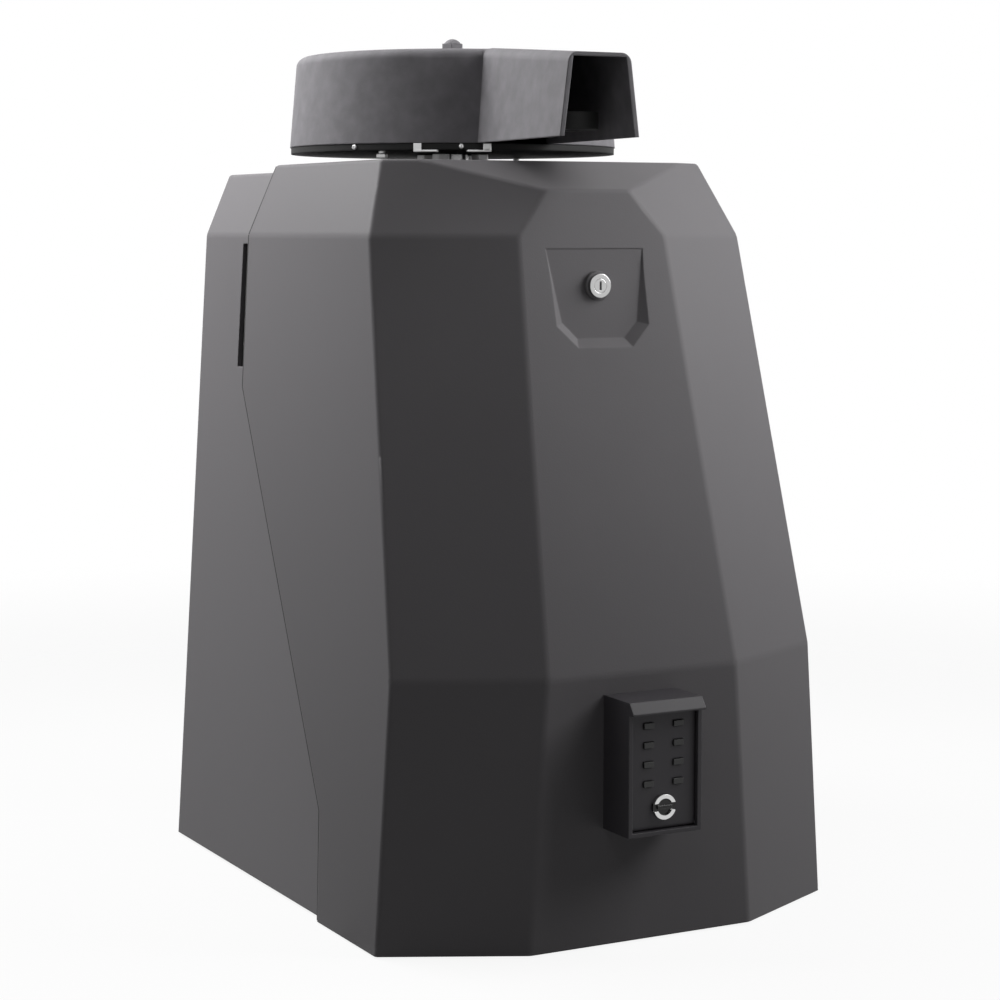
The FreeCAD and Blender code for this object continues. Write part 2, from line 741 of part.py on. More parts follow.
knob_notch = span(about_safe("knob_radius + 1"), (knob_face, f"{knob_face} + knob_proud / 2"),
                  (f"{KNOB_HEIGHT} - knob_notch_half", f"{KNOB_HEIGHT} + knob_notch_half"))
knob_stem = rod("knob_stem_radius", "lid_thick + 2 * clear_gap", ("safe_centre", knob_seat, KNOB_HEIGHT), "y")
knob_grip = span(about_safe("knob_core_radius"), (knob_face, f"{knob_face} + knob_proud / 2"),
                 (f"{KNOB_HEIGHT} - knob_grip_half", f"{KNOB_HEIGHT} + knob_grip_half"))
knob_latch = span(about_safe("knob_stem_radius"),
                  (f"{LID_BACK} + clear_gap", f"{LID_BACK} + clear_gap + lid_thick"),
                  (f"{KNOB_HEIGHT} - 2 * knob_stem_radius", f"{KNOB_HEIGHT} + knob_stem_radius"))
node("key_safe_knob", fuse(cut(knob_ring, knob_notch), knob_stem, knob_grip, knob_latch))

# Steel frame

ANCHOR_X = f"({BASE_HALF} - anchor_edge)"
ANCHOR_Y = f"({BASE_REAR} - anchor_edge)"
base_blank = span(both(BASE_HALF), (f"-{BASE_FRONT}", BASE_REAR), ("0", "base_thick"))
anchor_holes = [rod("anchor_hole_radius", "base_thick + 2", (f"{x} * {ANCHOR_X}", f"{y} * {ANCHOR_Y}", "-1"))
                for x in ("-1", "1") for y in ("-1", "1")]
conduit_hole = rod("conduit_radius", "base_thick + 2", ("0", "conduit_back", "-1"))
node("base_plate", cut(base_blank, *anchor_holes, conduit_hole))

for side, sign in (("left", "-1"), ("right", "1")):
    outer = f"{sign} * {FRAME_HALF}"
    inner = f"{sign} * {FRAME_INNER}"
    lip = f"{sign} * ({FRAME_HALF} - upright_flange)"
    web_x = (outer, inner) if side == "left" else (inner, outer)
    lip_x = (outer, lip) if side == "left" else (lip, outer)
    web = span(web_x, ("-upright_front", REAR_INNER), ("base_thick", TOP_PLATE_BOTTOM))
    flange = span(lip_x, (f"{REAR_INNER} - plate", REAR_INNER), ("base_thick", TOP_PLATE_BOTTOM))
    node(f"{side}_upright", cut(fuse(web, flange), *screw_holes))

top_blank = span(both(FRAME_HALF), ("-top_plate_front", REAR_INNER), (TOP_PLATE_BOTTOM, TOP_PLATE_TOP))
node("top_plate", cut(top_blank, rod("shaft_radius + 2", "plate + 2", ("0", "0", f"{TOP_PLATE_BOTTOM} - 1"))))
bumper_height = f"(deck_height - cover_wall - bumper_gap - {TOP_PLATE_TOP})"
bumper_y = "-(top_plate_front - bumper_inset)"
node("cover_bumpers", group(*[
    rod("bumper_radius", bumper_height, (x, bumper_y, TOP_PLATE_TOP))
    for x in both(f"({FRAME_HALF} - bumper_inset)")]))

shelf_plate = span(both(FRAME_INNER), (f"-{SHELF_FRONT}", "shelf_back"), (f"{SHELF_TOP} - plate", SHELF_TOP))
shelf_apron = span(both(FRAME_INNER), (f"-{SHELF_FRONT}", f"-{SHELF_FRONT} + plate"),
                   (f"{SHELF_TOP} - shelf_flange", SHELF_TOP))
node("gearbox_shelf", fuse(shelf_plate, shelf_apron))

# Worm gearbox

BEARING_BOTTOM = f"({SHELF_TOP} + case_floor)"
LID_BEARING_BOTTOM = f"({CASE_TOP} + lid_boss_rise + lid_plate - bearing_width)"
WORM_SEAT = "(worm_boss_half - worm_bearing_width)"


def worm_rod(radius, length, start):
    """A round piece on the worm's axis."""
    return rod(radius, length, (start, f"-{GEAR_CENTRE}", "gear_height"), "x")


case_drum = rod(CASE_RADIUS, f"{CASE_TOP} - {SHELF_TOP}", ("0", "0", SHELF_TOP))
worm_drum = worm_rod(WORM_BOSS_RADIUS, "2 * worm_boss_half", "-worm_boss_half")
worm_web = span(both("worm_boss_half"), (f"-{GEAR_CENTRE}", "0"),
                (SHELF_TOP, f"gear_height + {WORM_BOSS_RADIUS}"))
case_pit = cut(rod(CAVITY_RADIUS, f"{CASE_TOP} + 1 - {BEARING_BOTTOM}", ("0", "0", BEARING_BOTTOM)),
               rod("bearing_radius + case_wall", "bearing_width", ("0", "0", BEARING_BOTTOM)))
bearing_pit = rod("bearing_radius + fit_gap", "bearing_width + 1", ("0", "0", BEARING_BOTTOM))
shaft_pit = rod("shaft_radius + 2", "case_floor", ("0", "0", f"{BEARING_BOTTOM} - case_floor / 2"))
worm_tunnel = worm_rod(f"{WORM_TIP} + case_gap - 1", f"2 * {WORM_SEAT}", f"-{WORM_SEAT}")
worm_pits = [worm_rod("worm_bearing_radius + fit_gap", "worm_bearing_width + 1", start)
             for start in (WORM_SEAT, "-worm_boss_half - 1")]
CASE_BOLT_CIRCLE = f"({CASE_RADIUS} - case_wall / 2)"
CASE_BOLT_DEPTH = "(case_rise / 3)"
CASE_BOLTS = []
for turn in range(int(sheet.get("case_bolt_count"))):
    angle = f"(360 / case_bolt_count * {turn + 0.5})"
    CASE_BOLTS.append((f"{CASE_BOLT_CIRCLE} * cos({angle})", f"{CASE_BOLT_CIRCLE} * sin({angle})"))
case_taps = [rod("case_bolt_radius + fit_gap", "case_rise", (x, y, f"{CASE_TOP} - {CASE_BOLT_DEPTH}"))
             for x, y in CASE_BOLTS]
node("gearbox_case", cut(fuse(case_drum, worm_drum, worm_web), case_pit, bearing_pit, shaft_pit, worm_tunnel,
                         *worm_pits, *case_taps))
lid_disc = rod(CASE_RADIUS, "lid_plate", ("0", "0", CASE_TOP))
lid_boss = rod("bearing_radius + case_wall", "lid_boss_rise", ("0", "0", f"{CASE_TOP} + lid_plate"))
lid_pit = rod("bearing_radius + fit_gap", "bearing_width + 1", ("0", "0", LID_BEARING_BOTTOM))
lid_hole = rod("shaft_radius + 2", "2 * lid_plate + lid_boss_rise", ("0", "0", f"{CASE_TOP} - 1"))
lid_taps = [rod("case_bolt_radius + fit_gap", "lid_plate + 2", (x, y, f"{CASE_TOP} - 1"))
            for x, y in CASE_BOLTS]
node("gearbox_lid", cut(fuse(lid_disc, lid_boss), lid_pit, lid_hole, *lid_taps))
node("gearbox_bolts", group(*[
    fuse(hexagon("3.4 * case_bolt_radius", "1.4 * case_bolt_radius", (x, y, f"{CASE_TOP} + lid_plate")),
         rod("case_bolt_radius", f"lid_plate + {CASE_BOLT_DEPTH}", (x, y, f"{CASE_TOP} - {CASE_BOLT_DEPTH}")))
    for x, y in CASE_BOLTS]))


def bearing(radius, bore, width, start, axis):
    """A ball bearing as one ring."""
    hole = rod(f"{bore} + run_gap", width, start, axis)
    return cut(rod(radius, width, start, axis), hole)


node("gearbox_bearings", group(
    bearing("bearing_radius", "shaft_radius", "bearing_width", ("0", "0", BEARING_BOTTOM), "z"),
    bearing("bearing_radius", "shaft_radius", "bearing_width", ("0", "0", LID_BEARING_BOTTOM), "z"),
    bearing("worm_bearing_radius", "worm_shaft_radius", "worm_bearing_width",
            (WORM_SEAT, f"-{GEAR_CENTRE}", "gear_height"), "x"),
    bearing("worm_bearing_radius", "worm_shaft_radius", "worm_bearing_width",
            ("-worm_boss_half", f"-{GEAR_CENTRE}", "gear_height"), "x")))
blind_cap = worm_rod(WORM_BOSS_RADIUS, "worm_cap_thick", "-worm_boss_half - worm_cap_thick")
shaft_cap = cut(worm_rod(WORM_BOSS_RADIUS, "worm_cap_thick", "worm_boss_half"),
                worm_rod("worm_shaft_radius + clear_gap", "worm_cap_thick", "worm_boss_half"))
node("worm_end_caps", group(blind_cap, shaft_cap))

HOUSING_BOTTOM = f"({TOP_PLATE_BOTTOM} - housing_flange - housing_barrel)"
housing_plate = span(both("housing_half"), both("housing_half"),
                     (f"{TOP_PLATE_BOTTOM} - housing_flange", TOP_PLATE_BOTTOM))
housing_drum = rod("bearing_radius + case_wall / 2", "housing_barrel", ("0", "0", HOUSING_BOTTOM))
housing_bore = rod("shaft_radius + run_gap", "housing_flange + housing_barrel", ("0", "0", HOUSING_BOTTOM))
node("shaft_bearing_housing", cut(fuse(housing_plate, housing_drum), housing_bore))

# Worm wheel: a bronze wheel with slanted tooth gaps that follow the worm's lead

PITCH_RADIUS = "(gear_module * wheel_teeth / 2)"
TIP_RADIUS = "(gear_module * (wheel_teeth / 2 + 1))"
ROOT_RADIUS = "(gear_module * (wheel_teeth / 2 - 1.25))"
PRESSURE_ANGLE = 20
wheel_body = doc.addObject("PartDesign::Body", "wheel_body")
origin_planes = {feature.Role: feature for feature in wheel_body.Origin.OriginFeatures}


def wheel_sketch(label, height):
    """A sketch across the wheel's axis at a height above its middle."""
    sketch = wheel_body.newObject("Sketcher::SketchObject", label)
    sketch.AttachmentSupport = [(origin_planes["XY_Plane"], "")]
    sketch.MapMode = "FlatFace"
    sketch.setExpression("AttachmentOffset.Base.z", named(height))
    return sketch


rim_sketch = wheel_sketch("rim_sketch", "gear_height")
for radius in (TIP_RADIUS, "shaft_radius + fit_gap"):
    circle = rim_sketch.addGeometry(Part.Circle(Vector(), Vector(0, 0, 1), 1 + rim_sketch.GeometryCount))
    rim_sketch.addConstraint(Sketcher.Constraint("Coincident", circle, 3, -1, 1))
    index = rim_sketch.addConstraint(Sketcher.Constraint("Radius", circle, 1.0 + circle))
    rim_sketch.setExpression(f"Constraints[{index}]", named(radius))
rim = wheel_body.newObject("PartDesign::Pad", "rim")
rim.Profile = rim_sketch
rim.SideType = "Symmetric"
bind(rim, Length="wheel_face")

gap_sketch = wheel_sketch("gap_sketch", "gear_height")
half_gap = "(pi / 4 * gear_module + tooth_play / 2)"
slope = f"tan({PRESSURE_ANGLE})"
outer_half = f"({half_gap} + 2 * gear_module * {slope})"
inner_half = f"({half_gap} - 1.25 * gear_module * {slope})"
gap_mouth = f"-({PITCH_RADIUS} + 2 * gear_module)"
draw_polygon(gap_sketch, [(f"-{inner_half}", f"-{ROOT_RADIUS}"), (inner_half, f"-{ROOT_RADIUS}"),
                          (outer_half, gap_mouth), (f"-{outer_half}", gap_mouth)])
doc.recompute()
tooth_gap = wheel_body.newObject("PartDesign::Pocket", "tooth_gap")
tooth_gap.Profile = gap_sketch
tooth_gap.SideType = "Symmetric"
bind(tooth_gap, Length="2 * wheel_face")
tooth_gap.UseCustomVector = True
lead_slant = sheet.get("gear_module") / sheet.get("worm_pitch_diameter")
tooth_gap.Direction = Vector(lead_slant, 0, 1)
doc.recompute()
gaps = wheel_body.newObject("PartDesign::PolarPattern", "gaps")
gaps.Originals = [tooth_gap]
gaps.Axis = (origin_planes["Z_Axis"], [""])
gaps.Angle = 360
bind(gaps, Occurrences="wheel_teeth")
wheel_body.Tip = gaps
wheel_recesses = []
for height in ("gear_height + wheel_web / 2", "gear_height - wheel_web / 2 - wheel_face"):
    ring = cut(rod(f"{ROOT_RADIUS} - gear_module", "wheel_face", ("0", "0", height)),
               rod("wheel_hub_radius", "wheel_face", ("0", "0", height)))
    wheel_recesses.append(ring)
hub_start = ("0", "0", "gear_height - wheel_hub_height / 2")
wheel_hub = cut(rod("wheel_hub_radius", "wheel_hub_height", hub_start),
                rod("shaft_radius + fit_gap", "wheel_hub_height", hub_start))
node("worm_wheel", fuse(cut(wheel_body, *wheel_recesses), wheel_hub))

# Worm: one thread wound on its shaft

LEAD = "(pi * gear_module)"
THREAD_TURNS = f"floor(worm_thread_length / 2 / {LEAD})"
thread_root = "(worm_pitch_diameter / 2 - 1.25 * gear_module)"
helix = doc.addObject("Part::Helix", "thread_path")
bind(helix, Pitch=LEAD, Height=f"2 * {LEAD} * {THREAD_TURNS}", Radius=thread_root)
thread_half = "(pi / 4 * gear_module - tooth_play / 2)"
root_half = f"({thread_half} + 1.25 * gear_module * {slope})"
tip_half = f"({thread_half} - gear_module * {slope})"
thread_outline = outline([(f"{thread_root} - gear_module / 4", f"-{root_half}"), (WORM_TIP, f"-{tip_half}"),
                          (WORM_TIP, tip_half), (f"{thread_root} - gear_module / 4", root_half)], "y")
thread = doc.addObject("Part::Sweep", "thread")
thread.Sections = [thread_outline]
thread.Spine = helix
thread.Solid = True
thread.Frenet = True
place(thread, (f"-{LEAD} * {THREAD_TURNS}", f"-{GEAR_CENTRE}", "gear_height"), FACING["x"])
thread_core = worm_rod(thread_root, f"2 * {WORM_SEAT} - 2", f"-{WORM_SEAT} + 1")
PULLEY_END = "(pulley_place + belt_width / 2 + flange_thick + clear_gap)"
worm_journal = worm_rod("worm_shaft_radius", f"worm_boss_half - 1 + {PULLEY_END}", "-worm_boss_half + 1")
node("worm_shaft", fuse(worm_journal, thread_core, thread))

# Belt drive: two flanged pulleys and a flat belt round them

PULLEY_SIDE = "(pulley_place - belt_width / 2 - clear_gap - flange_thick)"


def pulley(radius, bore, height):
    """A flanged pulley about an axis along X."""
    centre = (f"-{GEAR_CENTRE}", height)
    whole = "(belt_width + 2 * clear_gap + 2 * flange_thick)"
    far_side = f"{PULLEY_SIDE} + {whole} - flange_thick"
    barrel = rod(radius, whole, (PULLEY_SIDE, *centre), "x")
    flanges = [rod(f"{radius} + flange_rise", "flange_thick", (start, *centre), "x")
               for start in (PULLEY_SIDE, far_side)]
    hole = rod(f"{bore} + fit_gap", whole, (PULLEY_SIDE, *centre), "x")
    return cut(fuse(barrel, *flanges), hole)


node("driven_pulley", pulley("driven_radius", "worm_shaft_radius", "gear_height"))
node("motor_pulley", pulley("drive_radius", "motor_shaft_radius", "motor_height"))


def belt_loop(grow):
    """The belt's side view: two arcs about the pulleys joined by two tangents."""
    sketch = doc.addObject("Sketcher::SketchObject", "belt_loop")
    across = -(sheet.get("gear_module") * sheet.get("wheel_teeth") + sheet.get("worm_pitch_diameter")) / 2
    rise = sheet.get("gear_height") - sheet.get("motor_height")
    big = sheet.get("driven_radius") + grow
    small = sheet.get("drive_radius") + grow
    tilt = math.asin((big - small) / rise)
    top = Vector(across, sheet.get("gear_height"), 0)
    low = Vector(across, sheet.get("motor_height"), 0)
    upper = Part.ArcOfCircle(Part.Circle(top, Vector(0, 0, 1), big), -tilt, math.pi + tilt)
    lower = Part.ArcOfCircle(Part.Circle(low, Vector(0, 0, 1), small), math.pi + tilt, 2 * math.pi - tilt)
    sketch.addGeometry(upper)
    sketch.addGeometry(lower)
    sketch.addGeometry(Part.LineSegment(upper.EndPoint, lower.StartPoint))
    sketch.addGeometry(Part.LineSegment(lower.EndPoint, upper.StartPoint))
    for first, end, second, start in ((0, 2, 2, 1), (2, 2, 1, 1), (1, 2, 3, 1), (3, 2, 0, 1)):
        sketch.addConstraint(Sketcher.Constraint("Tangent", first, end, second, start))
    for arc, radius, height in ((0, "driven_radius", "gear_height"), (1, "drive_radius", "motor_height")):
        for kind, formula in (("DistanceX", f"-{GEAR_CENTRE}"), ("DistanceY", height)):
            index = sketch.addConstraint(Sketcher.Constraint(kind, arc, 3, 1.0))
            sketch.setExpression(f"Constraints[{index}]", named(formula))
        index = sketch.addConstraint(Sketcher.Constraint("Radius", arc, big))
        sketch.setExpression(f"Constraints[{index}]", named(f"{radius} + {grow}"))
    return place(sketch, ("pulley_place - belt_width / 2", "0", "0"), FACING["x"])


belt_inside = sheet.get("clear_gap")
node("drive_belt", cut(prism(belt_loop(belt_inside + sheet.get("belt_thick")), "belt_width"),
                       prism(belt_loop(belt_inside), "belt_width")))

# Motor on its bench

SHELL_LEFT = "(motor_shell_centre - motor_shell_half)"
SHELL_RIGHT = "(motor_shell_centre + motor_shell_half)"
BENCH_TOP = "(motor_height - motor_radius - motor_foot_height)"


def motor_rod(radius, length, start):
    """A round piece on the motor's axis."""
    return rod(radius, length, (start, f"-{GEAR_CENTRE}", "motor_height"), "x")


shell_tube = cut(motor_rod("motor_radius", "2 * motor_shell_half", SHELL_LEFT),
                 motor_rod("motor_radius - motor_wall", "2 * motor_shell_half", SHELL_LEFT))
foot_block = cut(span(("motor_shell_centre - motor_foot_half", "motor_shell_centre + motor_foot_half"),
                      (f"-{GEAR_CENTRE} - motor_foot_half", f"-{GEAR_CENTRE} + motor_foot_half"),
                      (BENCH_TOP, "motor_height - motor_radius / 2")),
                 motor_rod("motor_radius - motor_wall", "2 * motor_shell_half", SHELL_LEFT))
node("motor_shell", fuse(shell_tube, foot_block))
CORE_LEFT = "(motor_shell_centre - rotor_half)"
node("motor_stator", cut(motor_rod("motor_radius - motor_wall - fit_gap", "2 * rotor_half", CORE_LEFT),
                         motor_rod("stator_bore", "2 * rotor_half", CORE_LEFT)))


def end_bell(start, spigot):
    """A cast end of the motor: a disc, a spigot in the shell and a bearing bore."""
    disc = motor_rod("motor_radius", "end_bell_thick", start)
    rim = cut(motor_rod("motor_radius - motor_wall - fit_gap", "end_bell_thick / 2", spigot),
              motor_rod("motor_radius - 3 * motor_wall", "end_bell_thick / 2", spigot))
    hole = motor_rod("motor_shaft_radius + run_gap", "end_bell_thick", start)
    return cut(fuse(disc, rim), hole)


node("motor_end_bells", group(end_bell(f"{SHELL_LEFT} - end_bell_thick", SHELL_LEFT),
                              end_bell(SHELL_RIGHT, f"{SHELL_RIGHT} - end_bell_thick / 2")))
rotor_core = motor_rod("stator_bore - rotor_gap", "2 * rotor_half", CORE_LEFT)
ROTOR_LEFT = f"({SHELL_LEFT} - end_bell_thick)"
rotor_shaft = motor_rod("motor_shaft_radius", f"{PULLEY_END} - {ROTOR_LEFT}", ROTOR_LEFT)
node("motor_rotor", fuse(rotor_core, rotor_shaft))
BENCH_X = ("motor_shell_centre - motor_bench_half", "motor_shell_centre + motor_bench_half")
BENCH_Y = (f"-{GEAR_CENTRE} - motor_bench_half", f"-{GEAR_CENTRE} + motor_bench_half")
bench_hollow = span((f"{BENCH_X[0]} - 1", f"{BENCH_X[1]} + 1"),
                    (f"{BENCH_Y[0]} + plate", f"{BENCH_Y[1]} - plate"),
                    ("base_thick", f"{BENCH_TOP} - plate"))
node("motor_bench", cut(span(BENCH_X, BENCH_Y, ("base_thick", BENCH_TOP)), bench_hollow))

# Control tray on the shelf's apron, with its board, capacitor and power switch

TRAY_BACK = f"(-{SHELF_FRONT})"
TRAY_FRONT = f"({TRAY_BACK} - tray_depth)"
TRAY_LOW = f"({SHELF_TOP} - tray_drop)"
TRAY_HIGH = f"({TOP_PLATE_BOTTOM} - tray_head)"
tray_block = span(both("tray_half"), (TRAY_FRONT, TRAY_BACK), (TRAY_LOW, TRAY_HIGH))
tray_hollow = span(both("tray_half - tray_wall"), (f"{TRAY_FRONT} - 1", f"{TRAY_BACK} - tray_wall"),
                   (f"{TRAY_LOW} + tray_wall", f"{TRAY_HIGH} - tray_wall"))
SWITCH_X = "(tray_half - board_margin - switch_width)"
SWITCH_Y = f"({TRAY_FRONT} + tray_depth / 2)"
switch_hole = span((SWITCH_X, f"{SWITCH_X} + switch_width"),
                   (f"{SWITCH_Y} - switch_height / 2", f"{SWITCH_Y} + switch_height / 2"),
                   (f"{TRAY_HIGH} - 2 * tray_wall", f"{TRAY_HIGH} + tray_wall"))
node("control_tray", cut(tray_block, tray_hollow, switch_hole))

BOARD_LEFT = "(-tray_half + board_margin)"
BOARD_RIGHT = "(tray_half - board_margin)"
BOARD_LOW = f"({TRAY_LOW} + board_margin)"
BOARD_HIGH = f"({TRAY_HIGH} - 2 * capacitor_radius - switch_depth)"
BOARD_BACK = f"({TRAY_BACK} - tray_wall - board_gap)"
BOARD_FRONT = f"({BOARD_BACK} - board_thick)"
board_pieces = [span((BOARD_LEFT, BOARD_RIGHT), (BOARD_FRONT, BOARD_BACK), (BOARD_LOW, BOARD_HIGH))]
for x in (f"{BOARD_LEFT} + board_margin / 2", f"{BOARD_RIGHT} - board_margin / 2"):
    for z in (f"{BOARD_LOW} + board_margin / 2", f"{BOARD_HIGH} - board_margin / 2"):
        board_pieces.append(rod("standoff_radius", "board_gap", (x, BOARD_BACK, z), "y"))
for index in range(int(sheet.get("relay_count"))):
    left = f"({BOARD_LEFT} + board_margin + {index} * (relay_side + board_gap))"
    top = f"({BOARD_HIGH} - 2 * board_margin)"
    board_pieces.append(span((left, f"{left} + relay_side"), (f"{BOARD_FRONT} - relay_side / 2", BOARD_FRONT),
                             (f"{top} - relay_side", top)))
for index in range(int(sheet.get("terminal_count"))):
    left = f"({BOARD_LEFT} + board_margin + {index} * terminal_height)"
    low = f"({BOARD_LOW} + board_margin)"
    board_pieces.append(span((left, f"{left} + terminal_height - 1"),
                             (f"{BOARD_FRONT} - terminal_height", BOARD_FRONT),
                             (low, f"{low} + terminal_height")))
transformer_low = f"({BOARD_LOW} + 2 * board_margin + terminal_height)"
transformer_right = f"({BOARD_RIGHT} - board_margin)"
board_pieces.append(span((f"{transformer_right} - transformer_side", transformer_right),
                         (f"{BOARD_FRONT} - transformer_side / 2", BOARD_FRONT),
                         (transformer_low, f"{transformer_low} + transformer_side")))
node("circuit_board", fuse(*board_pieces))
CAPACITOR_HEIGHT = f"({TRAY_HIGH} - tray_wall - capacitor_radius - clear_gap)"
CAPACITOR_DEPTH = f"({TRAY_BACK} - tray_wall - capacitor_radius - clear_gap)"
capacitor_spot = ("-tray_half + tray_wall", CAPACITOR_DEPTH, CAPACITOR_HEIGHT)
node("motor_capacitor", rod("capacitor_radius", "capacitor_length", capacitor_spot, "x"))
switch_case = span((f"{SWITCH_X} + fit_gap", f"{SWITCH_X} + switch_width - fit_gap"),
                   (f"{SWITCH_Y} - switch_height / 2 + fit_gap", f"{SWITCH_Y} + switch_height / 2 - fit_gap"),
                   (f"{TRAY_HIGH} - switch_depth", TRAY_HIGH))
bezel_half = "(switch_height / 2 + tray_wall)"
switch_bezel = span((f"{SWITCH_X} - tray_wall", f"{SWITCH_X} + switch_width + tray_wall"),
                    (f"{SWITCH_Y} - {bezel_half}", f"{SWITCH_Y} + {bezel_half}"),
                    (TRAY_HIGH, f"{TRAY_HIGH} + tray_wall"))
ROCKER_RADIUS = "(switch_height / 2 - 2 * tray_wall)"
ROCKER_X = f"({SWITCH_X} + switch_width / 2)"
ROCKER_LENGTH = "(switch_width - 4 * tray_wall)"
rocker_start = (f"{ROCKER_X} - {ROCKER_LENGTH} / 2", SWITCH_Y, TRAY_HIGH)
rocker_pit = rod(f"{ROCKER_RADIUS} + clear_gap", f"{ROCKER_LENGTH} + 2 * clear_gap",
                 (f"{ROCKER_X} - {ROCKER_LENGTH} / 2 - clear_gap", SWITCH_Y, TRAY_HIGH), "x")
node("power_switch", cut(fuse(switch_case, switch_bezel), rocker_pit))
rocker_half = rod(ROCKER_RADIUS, ROCKER_LENGTH, rocker_start, "x")
dish_height = f"({TRAY_HIGH} + switch_height + 2 * tray_wall)"
rocker_dish = rod("switch_height", ROCKER_LENGTH, (rocker_start[0], SWITCH_Y, dish_height), "x")
node("power_rocker", cut(rocker_half, rocker_dish))

# Limit cams on the output shaft, midway between gearbox and upper bearing, and the switches that feel them

GEARBOX_TOP = f"({CASE_TOP} + lid_plate + lid_boss_rise)"
CAM_LOW = f"(({GEARBOX_TOP} + {HOUSING_BOTTOM} - limit_spacing - cam_disc_thick) / 2)"
CAM_HEIGHTS = [CAM_LOW, f"({CAM_LOW} + limit_spacing)"]
cams = []
for height, sign in zip(CAM_HEIGHTS, ("-1", "1")):
    disc = rod("cam_disc_radius", "cam_disc_thick", ("0", "0", height))
    lobe = span(("0", "cam_disc_radius + cam_lobe_rise"), both("cam_lobe_half"),
                (height, f"{height} + cam_disc_thick"))
    hole = rod("shaft_radius + fit_gap", "cam_disc_thick", ("0", "0", height))
    cams.append(turned(cut(fuse(disc, lobe), hole), f"{sign} * (swing_limit + lobe_lead)"))
node("limit_cams", group(*cams))

ROLLER_X = "(cam_disc_radius + clear_gap + roller_radius)"
LEVER_X = f"({ROLLER_X} + roller_radius - 1)"
PIVOT_X = "(switch_offset - lever_half)"
PIVOT_Y = "(-lever_length)"
switch_blocks = []
for number, height in enumerate(CAM_HEIGHTS, 1):
    middle = f"({height} + cam_disc_thick / 2)"
    z = (f"{middle} - lever_half", f"{middle} + lever_half")
    roller = rod("roller_radius", "2 * lever_half", (ROLLER_X, "0", z[0]))
    blade = span((LEVER_X, f"{LEVER_X} + lever_thick"), (f"{PIVOT_Y} - lever_thick", "roller_radius / 2"), z)
    root = span((LEVER_X, PIVOT_X), (f"{PIVOT_Y} - lever_thick", f"{PIVOT_Y} + lever_thick"), z)
    knuckle = rod("lever_thick", "2 * lever_half", (PIVOT_X, PIVOT_Y, z[0]))
    pivot_hole = rod("lever_thick / 2 + run_gap", "2 * lever_half", (PIVOT_X, PIVOT_Y, z[0]))
    node(f"limit_lever_{number}", cut(fuse(roller, blade, root, knuckle), pivot_hole))
    block = span(("switch_offset", "switch_offset + microswitch_depth"), both("microswitch_half"),
                 (f"{middle} - microswitch_half_height", f"{middle} + microswitch_half_height"))
    ears = [span((f"{PIVOT_X} - lever_thick", "switch_offset + lever_half"),
                 (f"{PIVOT_Y} - lever_thick", f"{PIVOT_Y} + 2 * lever_thick"), ear)
            for ear in ((f"{z[1]} + clear_gap", f"{middle} + microswitch_half_height"),
                        (f"{middle} - microswitch_half_height", f"{z[0]} - clear_gap"))]
    pin = rod("lever_thick / 2", "2 * microswitch_half_height",
              (PIVOT_X, PIVOT_Y, f"{middle} - microswitch_half_height"))
    switch_blocks.append(fuse(block, *ears, pin))
node("limit_switches", group(*switch_blocks))
bracket_low = f"({CAM_LOW} + cam_disc_thick / 2 - microswitch_half_height - plate)"
bracket_high = f"({CAM_LOW} + limit_spacing + cam_disc_thick + microswitch_half_height)"
BRACKET_X = "(switch_offset + microswitch_depth)"
BRACKET_Y = both("microswitch_half")
node("limit_switch_bracket", fuse(
    span((BRACKET_X, f"{BRACKET_X} + plate / 2"), BRACKET_Y, (bracket_low, bracket_high)),
    span((BRACKET_X, FRAME_INNER), BRACKET_Y, (bracket_low, f"{bracket_low} + plate / 2")),
    span((f"{FRAME_INNER} - plate / 2", FRAME_INNER), BRACKET_Y, (bracket_low, bracket_high))))

# Output shaft, hub, crank arm and hood

SHAFT_BOTTOM = f"({BEARING_BOTTOM} - case_floor / 2 + 1)"
DOME_SEAT = f"({HOOD_TOP} + washer_thick)"
HOOD_SEAT = f"({HOOD_TOP} - hood_wall)"
shaft_bar = rod("shaft_radius", f"{HOOD_SEAT} - {SHAFT_BOTTOM}", ("0", "0", SHAFT_BOTTOM))
shaft_stud = rod("shaft_stud_radius", f"{DOME_SEAT} + dome_height / 2 - {HOOD_SEAT}", ("0", "0", HOOD_SEAT))
node("output_shaft", fuse(shaft_bar, shaft_stud))
slinger_start = ("0", "0", f"{TOP_PLATE_TOP} + slinger_gap")
node("shaft_slinger", cut(rod("slinger_radius", "slinger_thick", slinger_start),
                          rod("shaft_radius + fit_gap", "slinger_thick", slinger_start)))

EAR_Y = ("hub_radius - 6", "hub_radius + clamp_ear")
hub_drum = rod("hub_radius", "hub_height", ("0", "0", HOOD_BOTTOM))
hub_ears = span(both("clamp_ear_half"), EAR_Y, (HOOD_BOTTOM, HUB_TOP))
hub_bore = rod("shaft_radius + fit_gap", "hub_height", ("0", "0", HOOD_BOTTOM))
hub_slot = span(both("clamp_slot / 2"), ("0", "hub_radius + clamp_ear + 1"), (HOOD_BOTTOM, HUB_TOP))
BOLT_Y = "(hub_radius + clamp_ear / 2)"
BOLT_HEIGHTS = [f"({HOOD_BOTTOM} + hub_height * 0.25)", f"({HOOD_BOTTOM} + hub_height * 0.75)"]
ear_holes = [rod("clamp_bolt_radius + fit_gap", "2 * clamp_ear_half + 2",
                 ("-clamp_ear_half - 1", BOLT_Y, height), "x") for height in BOLT_HEIGHTS]
PLATE_LOW = f"({HOOD_BOTTOM} - hood_plate_thick)"
PLATE_BOLTS = []
for turn in range(int(sheet.get("plate_bolt_count"))):
    angle = f"(360 / plate_bolt_count * {turn + 0.5})"
    PLATE_BOLTS.append((f"plate_bolt_circle * cos({angle})", f"plate_bolt_circle * sin({angle})"))
plate_bolt_length = "(hood_plate_thick + hub_height / 2)"
